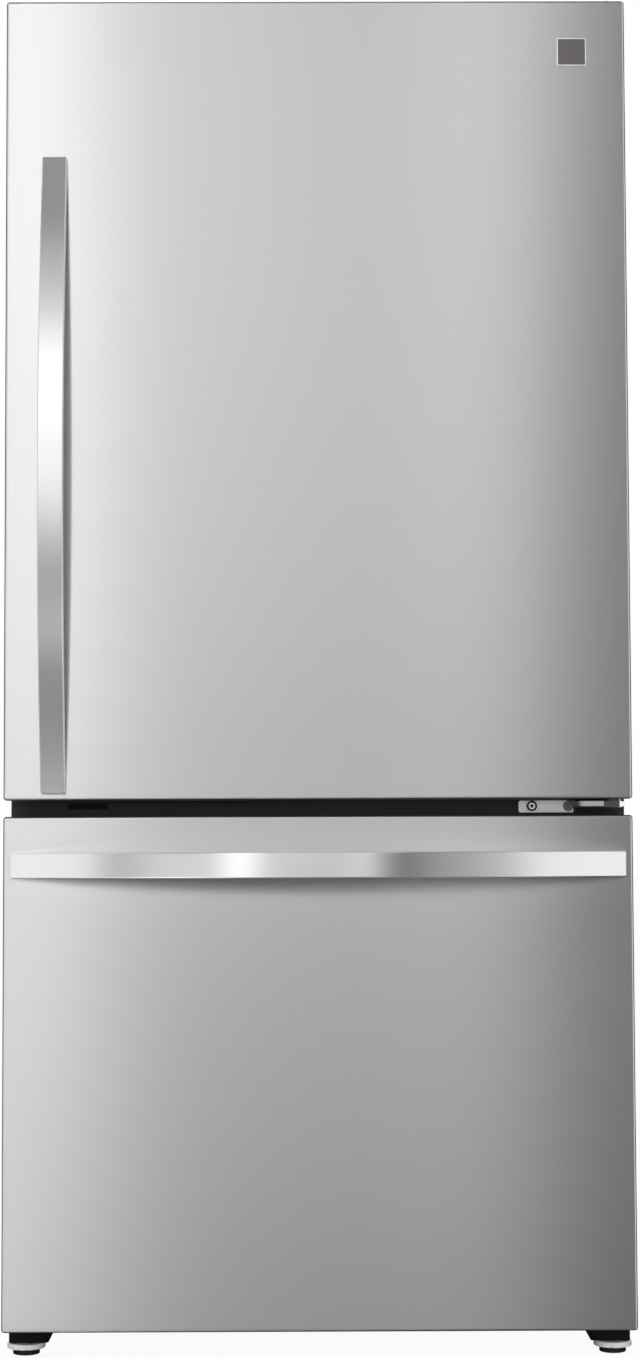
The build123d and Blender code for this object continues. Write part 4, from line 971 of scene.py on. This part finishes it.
# %% Drier and terminal box
neck_radius, drier_radius = 3.4 * mm, 9 * mm
drier_length, drier_taper = 98 * mm, 14 * mm
drier_rings = ((neck_radius, 0, 0), (drier_radius, drier_taper, 0),
               (drier_radius, drier_length - drier_taper, 0), (neck_radius, drier_length, 0))
shape = bmesh.new()
turned(shape, (70 * mm, hot_y, hot_z), (-1, 0, 0), drier_rings, 32)
piece("drier", "cabinet", copper, shape)

shape = bmesh.new()
rounded_block(shape, (pump_high.x - 12 * mm, pump_y - 30 * mm, pump_low.z + 50 * mm),
              (pump_high.x + 14 * mm, pump_y + 30 * mm, pump_low.z + 110 * mm), 3 * mm)
piece("terminal_box", "cabinet", moulded_black, shape)

# %% [markdown]
# ## The studio
#
# The photo has no visible room: the background is pure white. The world is white to the camera, to glossy
# and to transmitted rays, and dimmer as a light, so the white costs the object nothing.

# %% White surroundings
world = bpy.data.worlds.new("studio")
bpy.context.scene.world = world
world.use_nodes = True
sky = Graph(world.node_tree)


def ray_kinds(graph, *kinds):
    """1 for rays of these kinds, else 0."""
    mask, *others = [graph.add("ShaderNodeLightPath", output=f"Is {kind} Ray") for kind in kinds]
    for other in others:
        mask = mask | other
    return mask


fill_level = 0.55
seen = ray_kinds(sky, "Camera", "Glossy", "Transmission")
sky.feed(world.node_tree.nodes["Background"], "Color", sky.blend(seen, fill_level, 1.0))
print("world: fill", fill_level, "seen as white")

# %% [markdown]
# ## The floor
#
# The floor is white paper. Most of what the camera sees of it is plain white, as in the photo, and the rest is
# lit paper, which keeps a faint shadow under the object. Steel doesn't mirror it, because in the photo the lower
# edges of the doors mirror no floor.


# %% Pale floor
def flat_sheet(name, centre, width, height, face):
    """A quad of the studio that looks in one direction."""
    mesh = bpy.data.meshes.new(name)
    shape = bmesh.new()
    bmesh.ops.create_grid(shape, x_segments=1, y_segments=1, size=0.5)
    tilt = Vector(face).to_track_quat("Z", "Y").to_matrix().to_4x4()
    shape.transform(Matrix.Translation(centre) @ tilt @ Matrix.Diagonal((width, height, 1, 1)))
    shape.to_mesh(mesh)
    shape.free()
    obj = bpy.data.objects.new(name, mesh)
    bpy.context.collection.objects.link(obj)
    return obj


floor_size, floor_white_share = 60, 0.95
floor = flat_sheet("floor", (0, 0, 0), floor_size, floor_size, (0, 0, 1))
floor.visible_glossy = False
floor_paper = Finish("floor_paper", {"Roughness": 0.9, "Specular IOR Level": 0.1})
floor_paper.surface("Base Color", floor_paper.blend(floor_paper.noise(3.0, detail=4.0), 0.88, 0.93))
white = floor_paper.add("ShaderNodeEmission", {}, {"Color": 1.0, "Strength": 1.0})
share = floor_white_share * ray_kinds(floor_paper, "Camera", "Transmission")
lit = Wire(floor_paper, floor_paper.shader.outputs[0])
floor_paper.feed(floor_paper.tree.nodes["Material Output"], "Surface",
                 floor_paper.add("ShaderNodeMixShader", {}, [share, lit, white]))
dress(floor, floor_paper)
print("floor", floor.dimensions[:])

# %% [markdown]
# ## Reflection card
#
# Flat steel shows only what stands opposite, so a photographer shades it with a large card behind the camera.
# This one stands 9 m from the doors. A broad pale window fills its left side and gives the doors their fall of
# light from left to right. In it are a bright patch and a narrow strip, which the bowed handles repeat as their
# highlights. Right of the camera come a tall bright strip and a dark one, and beyond them the doors grow dark.
# Two low panels show mostly in the level handle. The windows end at one height, which gives the dark
# crescent under the drawer's handle its edge. Past the card's sides the handles' ends see the white room. The
# card lights nothing but reflections, and the camera looks past it.


# %% The card's light
class Glow(Material):
    """A material that only glows: its shader is one emission."""

    def __init__(self, name):
        super().__init__(name)
        self.tree.nodes.clear()

    def shine(self, level):
        """Ends the material with one brightness, plain or varying."""
        glow = self.add("ShaderNodeEmission", {}, {"Color": level, "Strength": 1.0})
        self.feed(self.tree.nodes.new("ShaderNodeOutputMaterial"), "Surface", glow)


class CardGlow(Glow):
    """A glow that is a sum of soft panels."""

    def __init__(self, name):
        super().__init__(name)
        place = self.add("ShaderNodeNewGeometry", output="Position")
        self.across = self.add("ShaderNodeSeparateXYZ", {}, [place], "X")
        self.up = self.add("ShaderNodeSeparateXYZ", {}, [place], "Z")
        self.total = 0.0

    def panel(self, level, x, half_x, z, half_z):
        """Adds a soft panel: its brightness, its middle and how far it reaches each way."""
        off_x = (self.across - x) / half_x
        off_z = (self.up - z) / half_z
        fade = self.add("ShaderNodeMath", {"operation": "POWER"}, [math.e, 0 - off_x * off_x - off_z * off_z])
        self.total = self.total + level * fade

    def close(self, top, above):
        """Ends the panels at one height; above it the card has one dim level."""
        ceiling = self.up.ramp(top - 0.15, top + 0.15)
        self.shine((self.total | 0.0) * (1 - ceiling) + above * ceiling)


def reflections_only(sheet):
    """Hides a card from the camera and keeps its light and shade out of everything but reflections."""
    for ray in ("camera", "diffuse", "transmission", "shadow"):
        setattr(sheet, f"visible_{ray}", False)


# %% [markdown]
# A spot on flat steel mirrors one spot of the card, blurred by the brushing, and the bow of a handle spreads the
# card over its length. So the brightness of doors and handles in the photo says where the card is bright. The
# panels were fitted to that, and then rounded: each is now a plain soft patch with its own place, in metres on
# the card, and is easy to move by hand.

# %% Put up the card
card_distance, card_width, card_height, card_middle = 9.0, 8.6, 60.0, 4.0
card = flat_sheet("reflection_card", (0, door_face - card_distance, card_middle), card_width, card_height, (0, 1, 0))
reflections_only(card)
card_glow = CardGlow("card_glow")
# broad pale window on the left, bright patch over the camera and narrow bright strip left of it
card_glow.panel(1.25, x=-1.6, half_x=4.4, z=2.2, half_z=1.13)
card_glow.panel(4.4, x=-0.32, half_x=0.95, z=4.1, half_z=1.1)
card_glow.panel(7.0, x=-1.46, half_x=0.25, z=4.4, half_z=2.5)
# tall bright strip right of the camera, with a dark strip along its right side
card_glow.panel(3.95, x=1.12, half_x=0.42, z=4.9, half_z=4.4)
card_glow.panel(-3.0, x=1.32, half_x=0.35, z=-1.0, half_z=8.5)
# low panel at the far right and a panel below the floor on the left, for the level handle
card_glow.panel(4.6, x=4.5, half_x=2.6, z=-0.25, half_z=0.5)
card_glow.panel(7.0, x=-3.0, half_x=1.0, z=-6.5, half_z=2.5)
card_glow.close(top=7.15, above=0.04)
dress(card, card_glow)
print("card", [round(v, 2) for v in card.dimensions])

# %% [markdown]
# ## Black paper beside and under the doors
#
# The folded edges of the doors turn away from the card. In the photo they end in a thin dark line, with a white
# one inside it. Black paper beside, above and below the doors gives the dark lines, with the painted shade behind
# the doors' fold line, and the white room gives the white one.

# %% Black paper
black_paper = Glow("black_paper")
black_paper.shine(0.004)
flag_side, flag_front, flag_middle = 1.0, door_face + 0.45, 0.9
strip_front, lid_gap = door_face + 0.24, 0.8


def black_sheet(name, centre, width, height, face):
    """A sheet of black paper that shows in reflections alone."""
    sheet = flat_sheet(name, centre, width, height, face)
    reflections_only(sheet)
    dress(sheet, black_paper)
    print("black paper", name, [round(v, 2) for v in sheet.dimensions])


for name, side in (("left_flag", -1), ("right_flag", 1)):
    black_sheet(name, (side * flag_side, flag_front, flag_middle), 1.0, 3.0, (-side, 0, 0))
black_sheet("sill_paper", (0, strip_front, 1 * mm), 1.2, 0.58, (0, 0, 1))
black_sheet("lid_paper", (0, strip_front, cad_high.z + lid_gap), 1.2, 0.58, (0, 0, -1))

# %% [markdown]
# ## Lamps
#
# Five soft square lamps light what isn't mirror-like: a key from the front left, a weaker fill from the right,
# one above, one behind, and one low in front, which reaches into the gap between the doors. Steel would mirror
# them as hard squares, so reflections don't see them.


# %% Lamps
def soft_box(name, place, aim, size, power):
    """A square area lamp pointed at a place."""
    data = bpy.data.lights.new(name, "AREA")
    data.shape = "SQUARE"
    data.size = size
    data.energy = power
    lamp = bpy.data.objects.new(name, data)
    bpy.context.collection.objects.link(lamp)
    lamp.location = place
    lamp.rotation_euler = (Vector(aim) - Vector(place)).to_track_quat("-Z", "Y").to_euler()
    lamp.visible_glossy = False
    print("lamp", name, power, "W")


middle = (0, 0, cad_high.z / 2)
gap_height = 0.72
soft_box("key_lamp", (-3.2, -4.0, 3.2), middle, 2.5, 90)
soft_box("fill_lamp", (3.6, -3.4, 2.0), middle, 2.5, 28)
soft_box("top_lamp", (0, 0.4, 4.6), middle, 3.0, 50)
soft_box("rear_lamp", (-1.5, 4.2, 2.8), middle, 2.5, 45)
soft_box("front_lamp", (0.2, -4.5, gap_height), (0.2, 0, gap_height), 1.2, 75)
